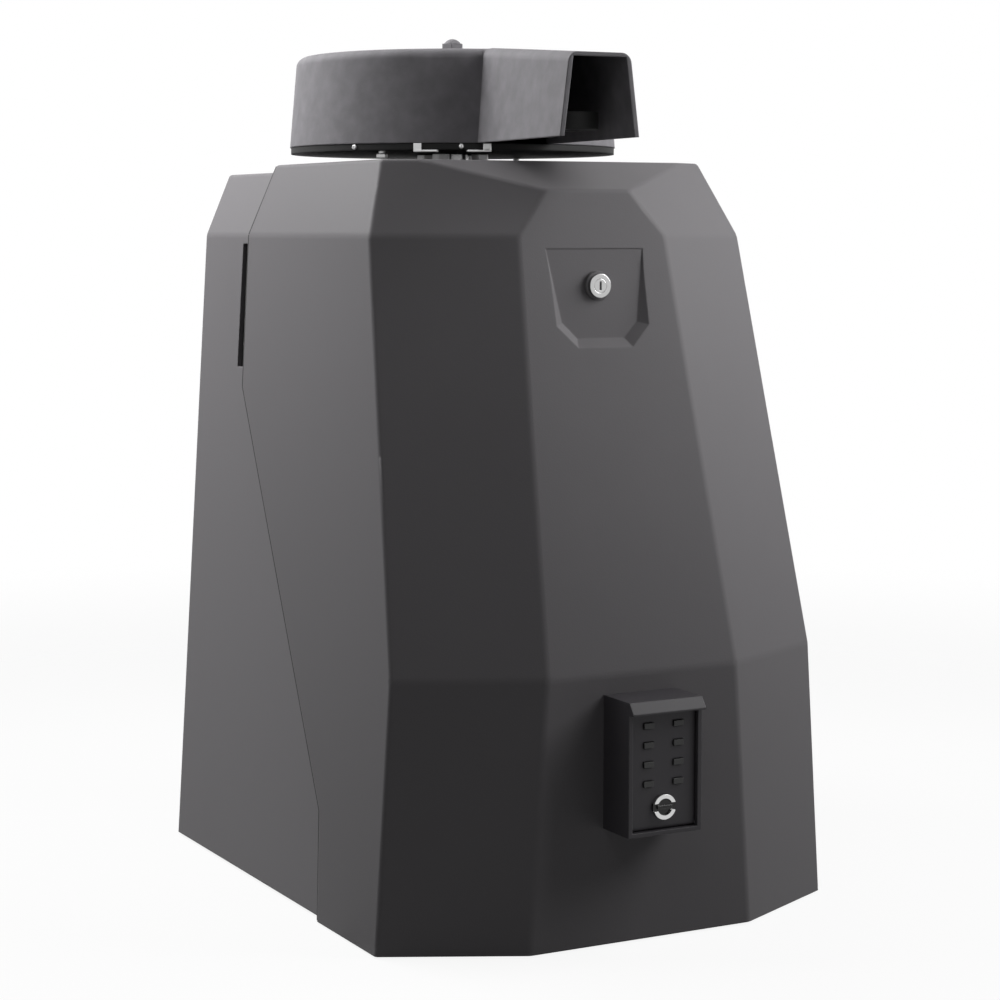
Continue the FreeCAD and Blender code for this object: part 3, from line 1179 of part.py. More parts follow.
plate_taps = [rod("clamp_bolt_radius + fit_gap", plate_bolt_length, (x, y, PLATE_LOW))
              for x, y in PLATE_BOLTS]
hub_cuts = [hub_bore, hub_slot, *ear_holes, *plate_taps]
node("arm_hub", turned(cut(fuse(hub_drum, hub_ears), *hub_cuts), "arm_angle"))
hood_disc = rod("hood_radius - hood_plate_inset", "hood_plate_thick", ("0", "0", PLATE_LOW))
plate_bore = rod("shaft_radius + clear_gap", "hood_plate_thick", ("0", "0", PLATE_LOW))
node("hood_plate", turned(cut(hood_disc, plate_bore, *plate_taps), "arm_angle"))
BOLT_FLATS = "(3.2 * clamp_bolt_radius)"
BOLT_HEAD = "(1.3 * clamp_bolt_radius)"
clamp_bolts = []
for height in BOLT_HEIGHTS:
    screw = bolt(BOLT_FLATS, BOLT_HEAD, "clamp_bolt_radius",
                 "2 * clamp_ear_half + 3 * clamp_bolt_radius", ("-clamp_ear_half", BOLT_Y, height), "x")
    nut = hexagon(BOLT_FLATS, "1.6 * clamp_bolt_radius", ("clamp_ear_half", BOLT_Y, height), "x")
    clamp_bolts.append(fuse(screw, nut))

ARM_LOW = f"({HOOD_BOTTOM} + arm_lift)"
arm_bar = span(both("arm_half"), ("-arm_reach", "0"), (ARM_LOW, f"{ARM_LOW} + arm_thick"))
arm_end = rod("arm_half", "arm_thick", ("0", "-arm_reach", ARM_LOW))
arm_root = rod("hub_radius + fit_gap", "2 * arm_thick", ("0", "0", f"{ARM_LOW} - arm_thick / 2"))
pin_hole = rod("pin_hole_radius", "2 * arm_thick", ("0", "-arm_reach", f"{ARM_LOW} - arm_thick / 2"))
node("crank_arm", turned(cut(fuse(arm_bar, arm_end), arm_root, pin_hole), "arm_angle"))


def hood_form(wall, foot, mouth):
    """The hood's form: a tapered drum about the shaft and a tapered snout over the arm."""
    drum = doc.addObject("Part::Cone", "drum")
    bind(drum, Radius1=f"hood_radius - {wall}", Radius2=f"hood_radius - hood_draft - {wall}",
         Height=f"{HOOD_TOP} - {wall} - ({foot})")
    place(drum, ("0", "0", foot))
    low_half = f"(snout_half - {wall})"
    high_half = f"(snout_half - snout_draft - {wall})"
    sections = []
    rim = "hood_draft - hood_radius"
    for at, top in (("0", HOOD_TOP), (rim, HOOD_TOP), (mouth, f"({HOOD_TOP} - snout_fall)")):
        roof = f"({top} - {wall})"
        corners = [(f"-{low_half}", foot), (low_half, foot), (high_half, roof), (f"-{high_half}", roof)]
        sections.append(outline(corners, "y", at))
    return fuse(drum, loft(*sections))


def hood_rim(edge, shape):
    """Accept the edges round the top of the hood, but not the one across its mouth."""
    top = sum(sheet.get(height) for height in ("deck_height", "hood_gap", "hood_height"))
    roof = top - sheet.get("snout_fall") - THROUGH
    mouth = THROUGH - sheet.get("snout_reach")
    high = all(vertex.Z > roof for vertex in edge.Vertexes)
    return high and any(vertex.Y > mouth for vertex in edge.Vertexes)


hood_outer = rounded(hood_form("0", HOOD_BOTTOM, "-snout_reach"), "hood_round", hood_rim)
hood_inner = hood_form("hood_wall", f"{HOOD_BOTTOM} - hood_wall", "-snout_reach - hood_wall")
stud_hole = rod("shaft_stud_radius + fit_gap", "4 * hood_wall", ("0", "0", f"{HOOD_TOP} - 2 * hood_wall"))
node("arm_hood", turned(cut(hood_outer, hood_inner, stud_hole), "arm_angle"))

washer = rod("washer_radius", "washer_thick", ("0", "0", HOOD_TOP))
nut_body = hexagon("2 * dome_radius", "dome_height - dome_radius / 2", ("0", "0", DOME_SEAT))
dome = doc.addObject("Part::Sphere", "dome")
bind(dome, Radius="dome_radius")
place(dome, ("0", "0", f"{DOME_SEAT} + dome_height - dome_radius"))
nut_bore = rod("shaft_stud_radius + fit_gap", "washer_thick + dome_height / 2 + clear_gap",
               ("0", "0", HOOD_TOP))
node("dome_nut", cut(fuse(washer, nut_body, dome), nut_bore))

plate_bolts = [bolt(BOLT_FLATS, BOLT_HEAD, "clamp_bolt_radius", plate_bolt_length, (x, y, PLATE_LOW))
               for x, y in PLATE_BOLTS]
node("arm_bolts", turned(group(*clamp_bolts, *plate_bolts), "arm_angle"))

doc.recompute()
failed = [item.Label for item in doc.Objects if {"Invalid", "Error"} & set(item.State)]
failed += [item.Label for item in NODES if item.Shape.isNull() or not item.Shape.isValid()]
if failed:
    raise RuntimeError(f"failed: {failed}")
os.makedirs("parts", exist_ok=True)
for item in NODES:
    item.Shape.exportStep(f"parts/{item.Label}.step")
    print(item.Label, len(item.Shape.Solids), round(item.Shape.Volume))
print(len(NODES), "sub-parts")
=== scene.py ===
# %% [markdown]
# A swing gate operator is a floor-standing cabinet of dark moulded plastic with a crank arm on its top.
# The solids come from the CAD model, already in place and in metres, with the origin on the floor under
# the output shaft. This lesson dresses them: a camera, a plain studio, finishes made of nodes, and the
# small repeated details that Geometry Nodes make well. The first cell loads the solids.

# %% Load the frame
import json
import math

import bpy
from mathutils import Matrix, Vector


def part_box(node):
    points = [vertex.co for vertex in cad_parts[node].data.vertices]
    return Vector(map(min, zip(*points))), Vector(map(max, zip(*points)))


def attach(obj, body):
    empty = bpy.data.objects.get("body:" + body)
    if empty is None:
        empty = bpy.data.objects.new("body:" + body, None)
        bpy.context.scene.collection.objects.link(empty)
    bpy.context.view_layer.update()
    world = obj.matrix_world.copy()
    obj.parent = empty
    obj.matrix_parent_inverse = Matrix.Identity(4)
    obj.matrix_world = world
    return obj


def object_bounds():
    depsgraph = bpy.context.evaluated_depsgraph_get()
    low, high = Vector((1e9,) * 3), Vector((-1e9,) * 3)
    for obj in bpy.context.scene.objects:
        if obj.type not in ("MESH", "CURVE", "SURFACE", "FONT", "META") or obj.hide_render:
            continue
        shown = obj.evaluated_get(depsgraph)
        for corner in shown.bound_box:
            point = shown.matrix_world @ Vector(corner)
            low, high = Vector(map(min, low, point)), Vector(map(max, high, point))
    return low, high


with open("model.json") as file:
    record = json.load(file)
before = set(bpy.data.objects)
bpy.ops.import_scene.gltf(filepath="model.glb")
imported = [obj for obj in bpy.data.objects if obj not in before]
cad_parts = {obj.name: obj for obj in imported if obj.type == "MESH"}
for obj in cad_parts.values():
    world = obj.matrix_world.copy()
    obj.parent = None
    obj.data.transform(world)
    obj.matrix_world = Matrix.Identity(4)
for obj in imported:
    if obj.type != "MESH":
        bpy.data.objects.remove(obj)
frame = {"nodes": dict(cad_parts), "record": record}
cad_box = [list(corner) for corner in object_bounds()]
nodes = frame["nodes"]
print(len(nodes), "solids, box", cad_box)

# %% [markdown]
# The photograph was taken from the front left, a little below the cabinet's deck. A camera could be set
# by eye, but lines of a known shape fix it better: the cabinet's corners gave the place, the turn and the
# focal length. A long lens keeps the upright edges nearly parallel, as they are in the photograph.

# %% Camera at the photograph's viewpoint
CAMERA_PLACE = (-1.148, -2.262, 0.6486)
CAMERA_PITCH = math.radians(6.275)
CAMERA_YAW = math.radians(28.0)
SENSOR = 36.0
FOCAL_SHARE = 2.461

scene = bpy.context.scene
camera_data = bpy.data.cameras.new("photo_camera")
camera_data.sensor_width = SENSOR
camera_data.lens = SENSOR * FOCAL_SHARE
camera = bpy.data.objects.new("photo_camera", camera_data)
camera.location = CAMERA_PLACE
camera.rotation_euler = (math.pi / 2 - CAMERA_PITCH, 0, -CAMERA_YAW)
scene.collection.objects.link(camera)
scene.camera = camera
scene.view_settings.view_transform = "Standard"
print("lens", round(camera_data.lens, 1), "mm")

# %% [markdown]
# Shaders are easier to write with a few small helpers: they add a node, set or link its inputs, and
# give back its result. Inputs are given by name, or by place where several have the same name. A number
# that is the same all over a surface goes straight onto the shader's own socket.


# %% Helpers for node trees
def join(tree, value, socket):
    """Link a socket to an input, or write a plain value on it."""
    if isinstance(value, bpy.types.NodeSocket):
        tree.links.new(value, socket)
    else:
        socket.default_value = value


def add_node(tree, kind, settings=None, **inputs):
    """Add a node, set its properties, and set or link its inputs by name, or by place as i0, i1 and so on."""
    made = tree.nodes.new(kind)
    for key, value in (settings or {}).items():
        setattr(made, key, value)
    for key, value in inputs.items():
        by_place = key[0] == "i" and key[1:].isdigit()
        join(tree, value, made.inputs[int(key[1:]) if by_place else key.replace("_", " ")])
    return made


def maths(tree, operation, *values):
    """A Math node's result."""
    return add_node(tree, "ShaderNodeMath", {"operation": operation},
                    **{f"i{place}": value for place, value in enumerate(values)}).outputs[0]


def mix_colours(tree, share, first, second):
    """A colour between two, by a share that may vary."""
    return add_node(tree, "ShaderNodeMix", {"data_type": "RGBA"}, i0=share, i6=first, i7=second).outputs[2]


def ramp(tree, value, low, high, out_low=0.0, out_high=1.0):
    """A value carried smoothly from one range to another."""
    return add_node(tree, "ShaderNodeMapRange", {"interpolation_type": "SMOOTHSTEP"},
                    i0=value, i1=low, i2=high, i3=out_low, i4=out_high).outputs[0]


def empty_tree(owner):
    """The node tree of a material or a world, with nothing in it."""
    owner.use_nodes = True
    owner.node_tree.nodes.clear()
    return owner.node_tree


def grey(level, warm=0.0, cool=0.0):
    """A neutral colour, with a little more red or blue if asked."""
    return (level * (1 + warm), level, level * (1 + cool), 1.0)


print("helpers ready")

# %% [markdown]
# The studio has a pale floor that fades out with distance. Camera rays see an almost white floor that
# keeps the shadow, and other rays see a greyer one, so that little light is thrown up at the cabinet.
# The Light Path node tells these rays apart. Mirror rays count as camera rays, so metal shows the white too.

# %% Floor
FLOOR_HALF = 6.0
FADE_START = 0.9
FADE_END = 2.4
FLOOR_PALE = grey(0.9)
FLOOR_GREY = grey(0.2)
WHITE_SHARE = 0.9


def seen_directly(tree):
    """One for camera, mirror and glass rays, and zero for the light that bounces about."""
    path = add_node(tree, "ShaderNodeLightPath").outputs
    shiny = maths(tree, "MAXIMUM", path["Is Glossy Ray"], path["Is Transmission Ray"])
    return maths(tree, "MAXIMUM", path["Is Camera Ray"], shiny)


floor_mesh = bpy.data.meshes.new("floor")
floor_corners = [(-FLOOR_HALF, -FLOOR_HALF, 0), (FLOOR_HALF, -FLOOR_HALF, 0),
                 (FLOOR_HALF, FLOOR_HALF, 0), (-FLOOR_HALF, FLOOR_HALF, 0)]
floor_mesh.from_pydata(floor_corners, [], [(0, 1, 2, 3)])
floor = bpy.data.objects.new("floor", floor_mesh)
scene.collection.objects.link(floor)
floor_look = bpy.data.materials.new("floor")
tree = empty_tree(floor_look)
pale = add_node(tree, "ShaderNodeBsdfDiffuse", Color=FLOOR_PALE)
glow = add_node(tree, "ShaderNodeEmission", Color=grey(1.0), Strength=1.0)
seen = add_node(tree, "ShaderNodeMixShader", i0=WHITE_SHARE, i1=pale.outputs[0], i2=glow.outputs[0])
dim = add_node(tree, "ShaderNodeBsdfDiffuse", Color=FLOOR_GREY)
ground = add_node(tree, "ShaderNodeMixShader", i0=seen_directly(tree), i1=dim.outputs[0],
                  i2=seen.outputs[0])
spot = add_node(tree, "ShaderNodeTexCoord").outputs["Object"]
distance = add_node(tree, "ShaderNodeVectorMath", {"operation": "LENGTH"}, i0=spot).outputs["Value"]
clear = add_node(tree, "ShaderNodeBsdfTransparent")
faded = add_node(tree, "ShaderNodeMixShader", i0=ramp(tree, distance, FADE_START, FADE_END),
                 i1=ground.outputs[0], i2=clear.outputs[0])
add_node(tree, "ShaderNodeOutputMaterial", Surface=faded.outputs[0])
floor_mesh.materials.append(floor_look)
print("floor fades from", FADE_START, "to", FADE_END, "m")

# %% [markdown]
# Behind the floor is a white surround. It is white for the camera and for mirrors, and almost dark for
# all other rays, so the lamps alone shape the cabinet.

# %% White surround
AMBIENT_STRENGTH = 0.01

world = bpy.data.worlds.new("surround")
scene.world = world
tree = empty_tree(world)
white = add_node(tree, "ShaderNodeBackground", Color=grey(1.0), Strength=1.0)
room = add_node(tree, "ShaderNodeBackground", Color=grey(1.0), Strength=AMBIENT_STRENGTH)
sky = add_node(tree, "ShaderNodeMixShader", i0=seen_directly(tree), i1=room.outputs[0], i2=white.outputs[0])
add_node(tree, "ShaderNodeOutputWorld", Surface=sky.outputs[0])
print("surround ready")

# %% [markdown]
# Two soft lamps do most of the work, one to the right and one behind on the left. The lamps overhead and in
# front are weak, so the faces turned to the camera are the darkest, as they are in the photograph. Wide area
# lamps suit this better than points, because moulded plastic shows every hard edge of a shadow.

# %% Soft lamps
TARGET = Vector((0, -0.1, 0.45))
LAMP_SIDE = 0.9
LAMPS = {"left_lamp": ((-0.7, 0.5, 1.4), 20.5), "right_lamp": ((0.95, -0.72, 1.15), 16),
         "top_lamp": ((0.0, 0.2, 2.4), 3), "front_lamp": ((-0.9, -1.6, 1.9), 3.2)}

for name, (place, power) in LAMPS.items():
    lamp_data = bpy.data.lights.new(name, "AREA")
    lamp_data.shape = "RECTANGLE"
    lamp_data.size = LAMP_SIDE
    lamp_data.size_y = LAMP_SIDE
    lamp_data.energy = power
    lamp = bpy.data.objects.new(name, lamp_data)
    lamp.location = place
    lamp.rotation_euler = (TARGET - Vector(place)).to_track_quat("-Z", "Y").to_euler()
    scene.collection.objects.link(lamp)
print(len(LAMPS), "lamps")

# %% [markdown]
# The cabinet is moulded in dark grey plastic with a fine grain from the mould. Three effects turn up on
# most of the finishes, so each is a node group with named inputs: a grain with a slight mottle, wear along
# edges, which on the covers is darker and partly painted shade, and dust that settles on what faces up.
# Noise on Object coordinates stays with the piece.
# The grain comes first: a cloudy noise shifts the colour and the gloss, and a fine one gives the height.

# %% Grain from the mould
COLOUR = "NodeSocketColor"
VALUE = "NodeSocketFloat"
VECTOR = "NodeSocketVector"
CLOUD_DETAIL = 5.0
FINE_DETAIL = 2.0


def new_group(name, inputs, outputs, family="ShaderNodeTree"):
    """An empty node group with named sockets."""
    group = bpy.data.node_groups.new(name, family)
    for label, kind, value in inputs:
        socket = group.interface.new_socket(label, in_out="INPUT", socket_type=kind)
        if value is not None:
            socket.default_value = value
    for label, kind in outputs:
        group.interface.new_socket(label, in_out="OUTPUT", socket_type=kind)
    source = group.nodes.new("NodeGroupInput")
    sink = group.nodes.new("NodeGroupOutput")
    return group, source.outputs, sink.inputs


def noise(tree, scale, detail):
    """Noise on the Object coordinates of the point that is shaded."""
    place = add_node(tree, "ShaderNodeTexCoord").outputs["Object"]
    return add_node(tree, "ShaderNodeTexNoise", Vector=place, Scale=scale, Detail=detail).outputs[0]


grain, given, result = new_group(
    "moulded_grain",
    [("Colour", COLOUR, grey(0.1)), ("Mottle", VALUE, 0.1), ("Mottle Scale", VALUE, 7.0),
     ("Grain Scale", VALUE, 700.0), ("Roughness", VALUE, 0.5), ("Roughness Spread", VALUE, 0.08)],
    [("Colour", COLOUR), ("Roughness", VALUE), ("Height", VALUE)])
cloud = noise(grain, given["Mottle Scale"], CLOUD_DETAIL)
centred = maths(grain, "MULTIPLY", maths(grain, "SUBTRACT", cloud, 0.5), 2.0)
shade = maths(grain, "ADD", maths(grain, "MULTIPLY", centred, given["Mottle"]), 1.0)
tinted = add_node(grain, "ShaderNodeVectorMath", {"operation": "SCALE"}, i0=given["Colour"], Scale=shade)
spread = maths(grain, "MULTIPLY", centred, given["Roughness Spread"])
grain.links.new(tinted.outputs[0], result["Colour"])
grain.links.new(maths(grain, "ADD", spread, given["Roughness"]), result["Roughness"])
grain.links.new(noise(grain, given["Grain Scale"], FINE_DETAIL), result["Height"])
print("group", grain.name)

# %% [markdown]
# Edges wear where hands and tools rub them. A Bevel node gives a normal that is softened near an edge, and
# where it leans away from the true normal there is an edge to wear. A patchy noise breaks the line up.
# The softened normal is handed on as well, because no moulded edge is perfectly sharp.

# %% Wear along edges
# On the cover plastics the edge colour is darker than the surface: partly dirt, partly painted shade for the
# seam's gap.
EDGE_SAMPLES = 6
EDGE_LEAN = (0.01, 0.2)
CHIP_SCALE = 120.0
CHIP_DETAIL = 4.0
CHIP_RANGE = (0.35, 0.65)

edge_effects, given, result = new_group(
    "edge_wear",
    [("Colour", COLOUR, grey(0.1)), ("Worn Colour", COLOUR, grey(0.2)), ("Radius", VALUE, 0.002),
     ("Amount", VALUE, 0.5)],
    [("Colour", COLOUR), ("Normal", VECTOR)])
soft = add_node(edge_effects, "ShaderNodeBevel", {"samples": EDGE_SAMPLES}, Radius=given["Radius"]).outputs[0]
flat = add_node(edge_effects, "ShaderNodeNewGeometry").outputs["Normal"]
agree = add_node(edge_effects, "ShaderNodeVectorMath", {"operation": "DOT_PRODUCT"}, i0=soft, i1=flat)
edge = ramp(edge_effects, maths(edge_effects, "SUBTRACT", 1.0, agree.outputs["Value"]), *EDGE_LEAN)
patchy = maths(edge_effects, "MULTIPLY", edge, ramp(edge_effects, noise(edge_effects, CHIP_SCALE, CHIP_DETAIL), *CHIP_RANGE))
wear_and_shade = maths(edge_effects, "MULTIPLY", patchy, given["Amount"])
edge_effects.links.new(mix_colours(edge_effects, wear_and_shade, given["Colour"], given["Worn Colour"]), result["Colour"])
edge_effects.links.new(soft, result["Normal"])
print("group", edge_effects.name)

# %% [markdown]
# Dust lies only on what faces up, so the upward part of the normal makes its mask. Another noise leaves bare
# patches in it, as wind and rain do.

# %% Settled dust
DUST_COLOUR = (0.24, 0.23, 0.21, 1)
FACING_UP = (0.3, 0.95)
DRIFT_SCALE = 22.0
DRIFT_DETAIL = 6.0
DRIFT_RANGE = (0.3, 0.75)

dust, given, result = new_group(
    "settled_dust",
    [("Colour", COLOUR, grey(0.1)), ("Dust Colour", COLOUR, DUST_COLOUR), ("Amount", VALUE, 0.15)],
    [("Colour", COLOUR)])
facing = add_node(dust, "ShaderNodeNewGeometry").outputs["Normal"]
up = add_node(dust, "ShaderNodeSeparateXYZ", i0=facing).outputs["Z"]
drift = ramp(dust, noise(dust, DRIFT_SCALE, DRIFT_DETAIL), *DRIFT_RANGE)
lying = maths(dust, "MULTIPLY", ramp(dust, up, *FACING_UP), drift)
mask = maths(dust, "MULTIPLY", lying, given["Amount"])
dust.links.new(mix_colours(dust, mask, given["Colour"], given["Dust Colour"]), result["Colour"])
print("group", dust.name)

# %% [markdown]
# One function then builds a finish: colour through grain, wear and dust, the grain's height through a Bump
# node, and the constant numbers on the Principled shader itself.


# %% A finish from the shared effects
def use_group(tree, group, **inputs):
    """Place a node group and set or link its inputs."""
    placed = tree.nodes.new("ShaderNodeGroup")
    placed.node_tree = group
    for key, value in inputs.items():
        join(tree, value, placed.inputs[key.replace("_", " ")])
    return placed.outputs


def finish(name, colour, roughness, metallic=0.0, mottle=0.08, mottle_scale=7.0, grain_scale=700.0,
           grain_depth=0.00008, spread=0.06, wear_and_shade=None, wear_amount=0.4, wear_radius=0.002, dusty=0.0,
           specular=0.5):
    """A material with grain, edge wear and dust, in metres; on the covers the dark edge is partly painted
    shade. The colour may be a function of the tree.
    """
    look = bpy.data.materials.new(name)
    tree = empty_tree(look)
    own = colour(tree) if callable(colour) else colour
    base = use_group(tree, grain, Colour=own, Mottle=mottle, Mottle_Scale=mottle_scale,
                     Grain_Scale=grain_scale, Roughness=roughness, Roughness_Spread=spread)
    edges = use_group(tree, edge_effects, Colour=base["Colour"], Worn_Colour=wear_and_shade, Radius=wear_radius,
                      Amount=wear_amount)
    topped = use_group(tree, dust, Colour=edges["Colour"], Amount=dusty)
    bump = add_node(tree, "ShaderNodeBump", Height=base["Height"], Distance=grain_depth, Strength=1.0,
                    Normal=edges["Normal"])
    shader = add_node(tree, "ShaderNodeBsdfPrincipled", Base_Color=topped["Colour"],
                      Roughness=base["Roughness"], Metallic=metallic, Normal=bump.outputs[0],
                      Specular_IOR_Level=specular)
    add_node(tree, "ShaderNodeOutputMaterial", Surface=shader.outputs[0])
    return look


print("finish maker ready")

# %% [markdown]
# Three solids change colour over their own surface. The front cover is painted darker towards the ground, as
# painted shade.
# The circuit board is green with dark parts before it. The knob of the key safe has a painted reflection: two
# bright arcs round a dark middle.
# Each could be cut into more solids, but one ramp on the Object coordinates does it without new edges.

# %% Colours that change over one solid
PAINTED_SHADE_LOW = 0.0
PAINTED_SHADE_HIGH = 0.6
BOARD_FRONT = -0.1616
BOARD_BACK = -0.16
BOARD_GREEN = (0.012, 0.09, 0.035, 1)
EDGE_BLUR = 0.0002
KNOB_X = -0.0043
KNOB_Z = 0.135
KNOB_CORE = 0.0078
KNOB_NOTCH = 0.0034


def own_place(tree):
    """The three Object coordinates of the point that is shaded."""
    spot = add_node(tree, "ShaderNodeTexCoord").outputs["Object"]
    return add_node(tree, "ShaderNodeSeparateXYZ", i0=spot).outputs


def cover_painted_shade_colours(tree):
    """Cover plastic painted a little darker towards the ground: painted shade for the weaker light low down.
    """
    unshaded_share = ramp(tree, own_place(tree)["Z"], PAINTED_SHADE_LOW, PAINTED_SHADE_HIGH)
    return mix_colours(tree, unshaded_share, grey(0.116, 0.04, 0.05), grey(0.147, 0.04, 0.05))


def board_colours(tree):
    """Green board, dark parts in front of it and bright posts behind it."""
    depth = own_place(tree)["Y"]
    in_front = ramp(tree, depth, BOARD_FRONT - EDGE_BLUR, BOARD_FRONT, 1.0, 0.0)
    behind = ramp(tree, depth, BOARD_BACK, BOARD_BACK + EDGE_BLUR)
    parts = mix_colours(tree, in_front, BOARD_GREEN, grey(0.03))
    return mix_colours(tree, behind, parts, grey(0.4))


def knob_painted_reflection_colours(tree):
    """Painted reflection on the chrome: a bright rim, notched at both sides, round a dark dished middle."""
    spot = own_place(tree)
    across = maths(tree, "SUBTRACT", spot["X"], KNOB_X)
    along = maths(tree, "SUBTRACT", spot["Z"], KNOB_Z)
    reach = maths(tree, "SQRT", maths(tree, "ADD", maths(tree, "MULTIPLY", across, across),
                                      maths(tree, "MULTIPLY", along, along)))
    rim = ramp(tree, reach, KNOB_CORE - EDGE_BLUR, KNOB_CORE + EDGE_BLUR)
    outside_notch = ramp(tree, maths(tree, "ABSOLUTE", along), KNOB_NOTCH - EDGE_BLUR, KNOB_NOTCH + EDGE_BLUR)
    return mix_colours(tree, maths(tree, "MULTIPLY", rim, outside_notch), grey(0.03), grey(0.6))


print("knob's bright rim starts at", KNOB_CORE, "m")

# %% [markdown]
# Each finish gives its own values. The plastics of the cabinet are matt and differ mainly in shade: the hood
# is the palest and the most mottled. Metals take a high Metallic, less mottle and
# a finer grain, and the painted steel inside carries more dust.

# %% Finishes by material slot
FINISHES = {
    # Cover plastic: painted shade darkens it towards the ground, and its dark edges are partly painted shade.
    "cover_plastic": finish("moulded_cover_plastic", cover_painted_shade_colours, 0.5, wear_and_shade=grey(0.07), wear_amount=0.5,
                            wear_radius=0.002, dusty=0.05, specular=0.15),
    "hood_plastic": finish("moulded_hood_plastic", grey(0.212, 0.03, 0.06), 0.68, mottle=0.3,
                           mottle_scale=60, wear_and_shade=grey(0.1), wear_amount=0.3, wear_radius=0.002, dusty=0.08,
                           specular=0.15),
    "safe_metal": finish("dark_powder_coat", grey(0.027, 0.08, 0.14), 0.5, wear_and_shade=grey(0.1), wear_amount=0.35,
                         wear_radius=0.0015, grain_scale=1500, grain_depth=0.00006, specular=0.3),
    "button_metal": finish("dark_button_metal", grey(0.03), 0.45, wear_and_shade=grey(0.04), wear_amount=0.3,
                           wear_radius=0.0008, grain_scale=1800, grain_depth=0.00003, specular=0.35),
    "bright_metal": finish("polished_chrome", grey(0.5), 0.14, metallic=1.0, mottle=0.02, spread=0.04,
                           wear_and_shade=grey(0.15), wear_amount=0.8, wear_radius=0.0012, grain_scale=2500,
                           grain_depth=0.00001),
    "zinc_steel": finish("zinc_plated_steel", grey(0.55), 0.32, metallic=1.0, mottle=0.12, mottle_scale=45,
                         wear_and_shade=grey(0.4), wear_radius=0.0012, grain_scale=1400, grain_depth=0.00003),
    "shaft_steel": finish("ground_steel", grey(0.62), 0.2, metallic=1.0, mottle=0.05, mottle_scale=30,
                          wear_and_shade=grey(0.5), wear_radius=0.001, grain_scale=1600, grain_depth=0.00002),
    "frame_steel": finish("painted_frame_steel", grey(0.09), 0.42, mottle=0.06, wear_and_shade=grey(0.3),
                          wear_amount=0.5, wear_radius=0.002, dusty=0.25, grain_scale=900,
                          grain_depth=0.00005),
    "cast_iron": finish("cast_iron", grey(0.16), 0.62, metallic=0.5, mottle=0.2, mottle_scale=40,
                        wear_and_shade=grey(0.35), wear_radius=0.002, dusty=0.2, grain_scale=420, grain_depth=0.00025),
    "bronze": finish("wheel_bronze", (0.5, 0.3, 0.11, 1), 0.33, metallic=1.0, mottle=0.12, mottle_scale=30,
                     wear_and_shade=(0.7, 0.5, 0.25, 1), wear_radius=0.001, grain_scale=1200, grain_depth=0.00003),
    "motor_paint": finish("motor_paint", (0.045, 0.06, 0.085, 1), 0.4, wear_and_shade=grey(0.3), wear_amount=0.5,
                          wear_radius=0.0015, dusty=0.25, grain_scale=900, grain_depth=0.00005),
    "rubber": finish("black_rubber", grey(0.018), 0.7, mottle=0.12, wear_and_shade=grey(0.05), dusty=0.2,
                     grain_scale=1500, grain_depth=0.00006),
    "board": finish("dressed_board", board_colours, 0.34, mottle=0.1, mottle_scale=60, wear_and_shade=grey(0.15),
                    wear_radius=0.0006, dusty=0.1, grain_scale=1600, grain_depth=0.00002),
    "black_plastic": finish("black_moulding", grey(0.02), 0.4, mottle=0.1, wear_and_shade=grey(0.06),
                            wear_radius=0.0008, grain_scale=1500, grain_depth=0.00003),
    "red_plastic": finish("red_rocker_plastic", (0.35, 0.015, 0.012, 1), 0.25, mottle=0.05,
                          wear_and_shade=(0.5, 0.1, 0.08, 1), wear_radius=0.0008, grain_scale=1500,
                          grain_depth=0.00002),
    "capacitor_can": finish("drawn_aluminium", grey(0.6), 0.3, metallic=1.0, mottle=0.06, mottle_scale=40,
                            wear_and_shade=grey(0.5), wear_radius=0.001, grain_scale=1500, grain_depth=0.00003),
}
print(len(FINISHES), "finishes")

# %% [markdown]
# Each solid already knows its material slot from the imported record, so the finishes are handed out in one
# loop. The solids stay where the CAD put them, and only what fills their slots changes. A few have their own
# look: the knob of the key safe, with a painted reflection of bright arcs round a dark middle, the near-black
# arm, hub and disc, partly black paint and partly painted shade, and the rear cover, painted paler as painted
# light.

# %% Finishes on the solids
# The knob's bright arcs and dark middle are a painted reflection of what the chrome mirrors.
knob_painted_reflection_look = finish("knob_chrome", knob_painted_reflection_colours, 0.14, metallic=1.0, mottle=0.02, spread=0.04,
                   wear_and_shade=grey(0.15), wear_amount=0.7, wear_radius=0.0008, grain_scale=2500,
                   grain_depth=0.00001)
# The arm, hub and disc are near black: partly black paint, partly painted shade for the dark under the hood.
arm_black_and_shade_look = finish("black_arm_paint", grey(0.012), 0.6, wear_and_shade=grey(0.03), grain_scale=1200,
                  grain_depth=0.00004, specular=0.2)
# The rear cover is the front's plastic painted paler: painted light for the light from the left lamp behind.
rear_painted_light_look = finish("faded_cover_plastic", grey(0.162, 0.04, 0.05), 0.5, wear_and_shade=grey(0.07), wear_amount=0.5,
                   dusty=0.05, specular=0.15)
OWN_LOOKS = {"key_safe_knob": knob_painted_reflection_look, "crank_arm": arm_black_and_shade_look, "arm_hub": arm_black_and_shade_look,
             "hood_plate": arm_black_and_shade_look, "rear_cover": rear_painted_light_look}

for row in frame["record"]["subparts"]:
    solid = nodes[row["node"]]
    look = OWN_LOOKS.get(row["node"], FINISHES[row["material_slot"]])
    if not solid.material_slots:
        solid.data.materials.append(look)
    for held in solid.material_slots:
        held.material = look
print("dressed", len(nodes), "solids")

# %% [markdown]
# Small things that repeat are made by Geometry Nodes: a shape is built once, copied along a row or round a
# ring, turned into plain mesh and given its finish. A copy placed by hand would look the same, but a tree
# with named inputs keeps the count, the spacing and the size in one place. These helpers open a tree, put
# shapes together, close the tree, and run it once for a piece.

# %% Helpers for Geometry Nodes
GEOMETRY = "NodeSocketGeometry"
MATERIAL = "NodeSocketMaterial"
WHOLE = "NodeSocketInt"
ROTATION = "NodeSocketRotation"
QUARTER = math.pi / 2


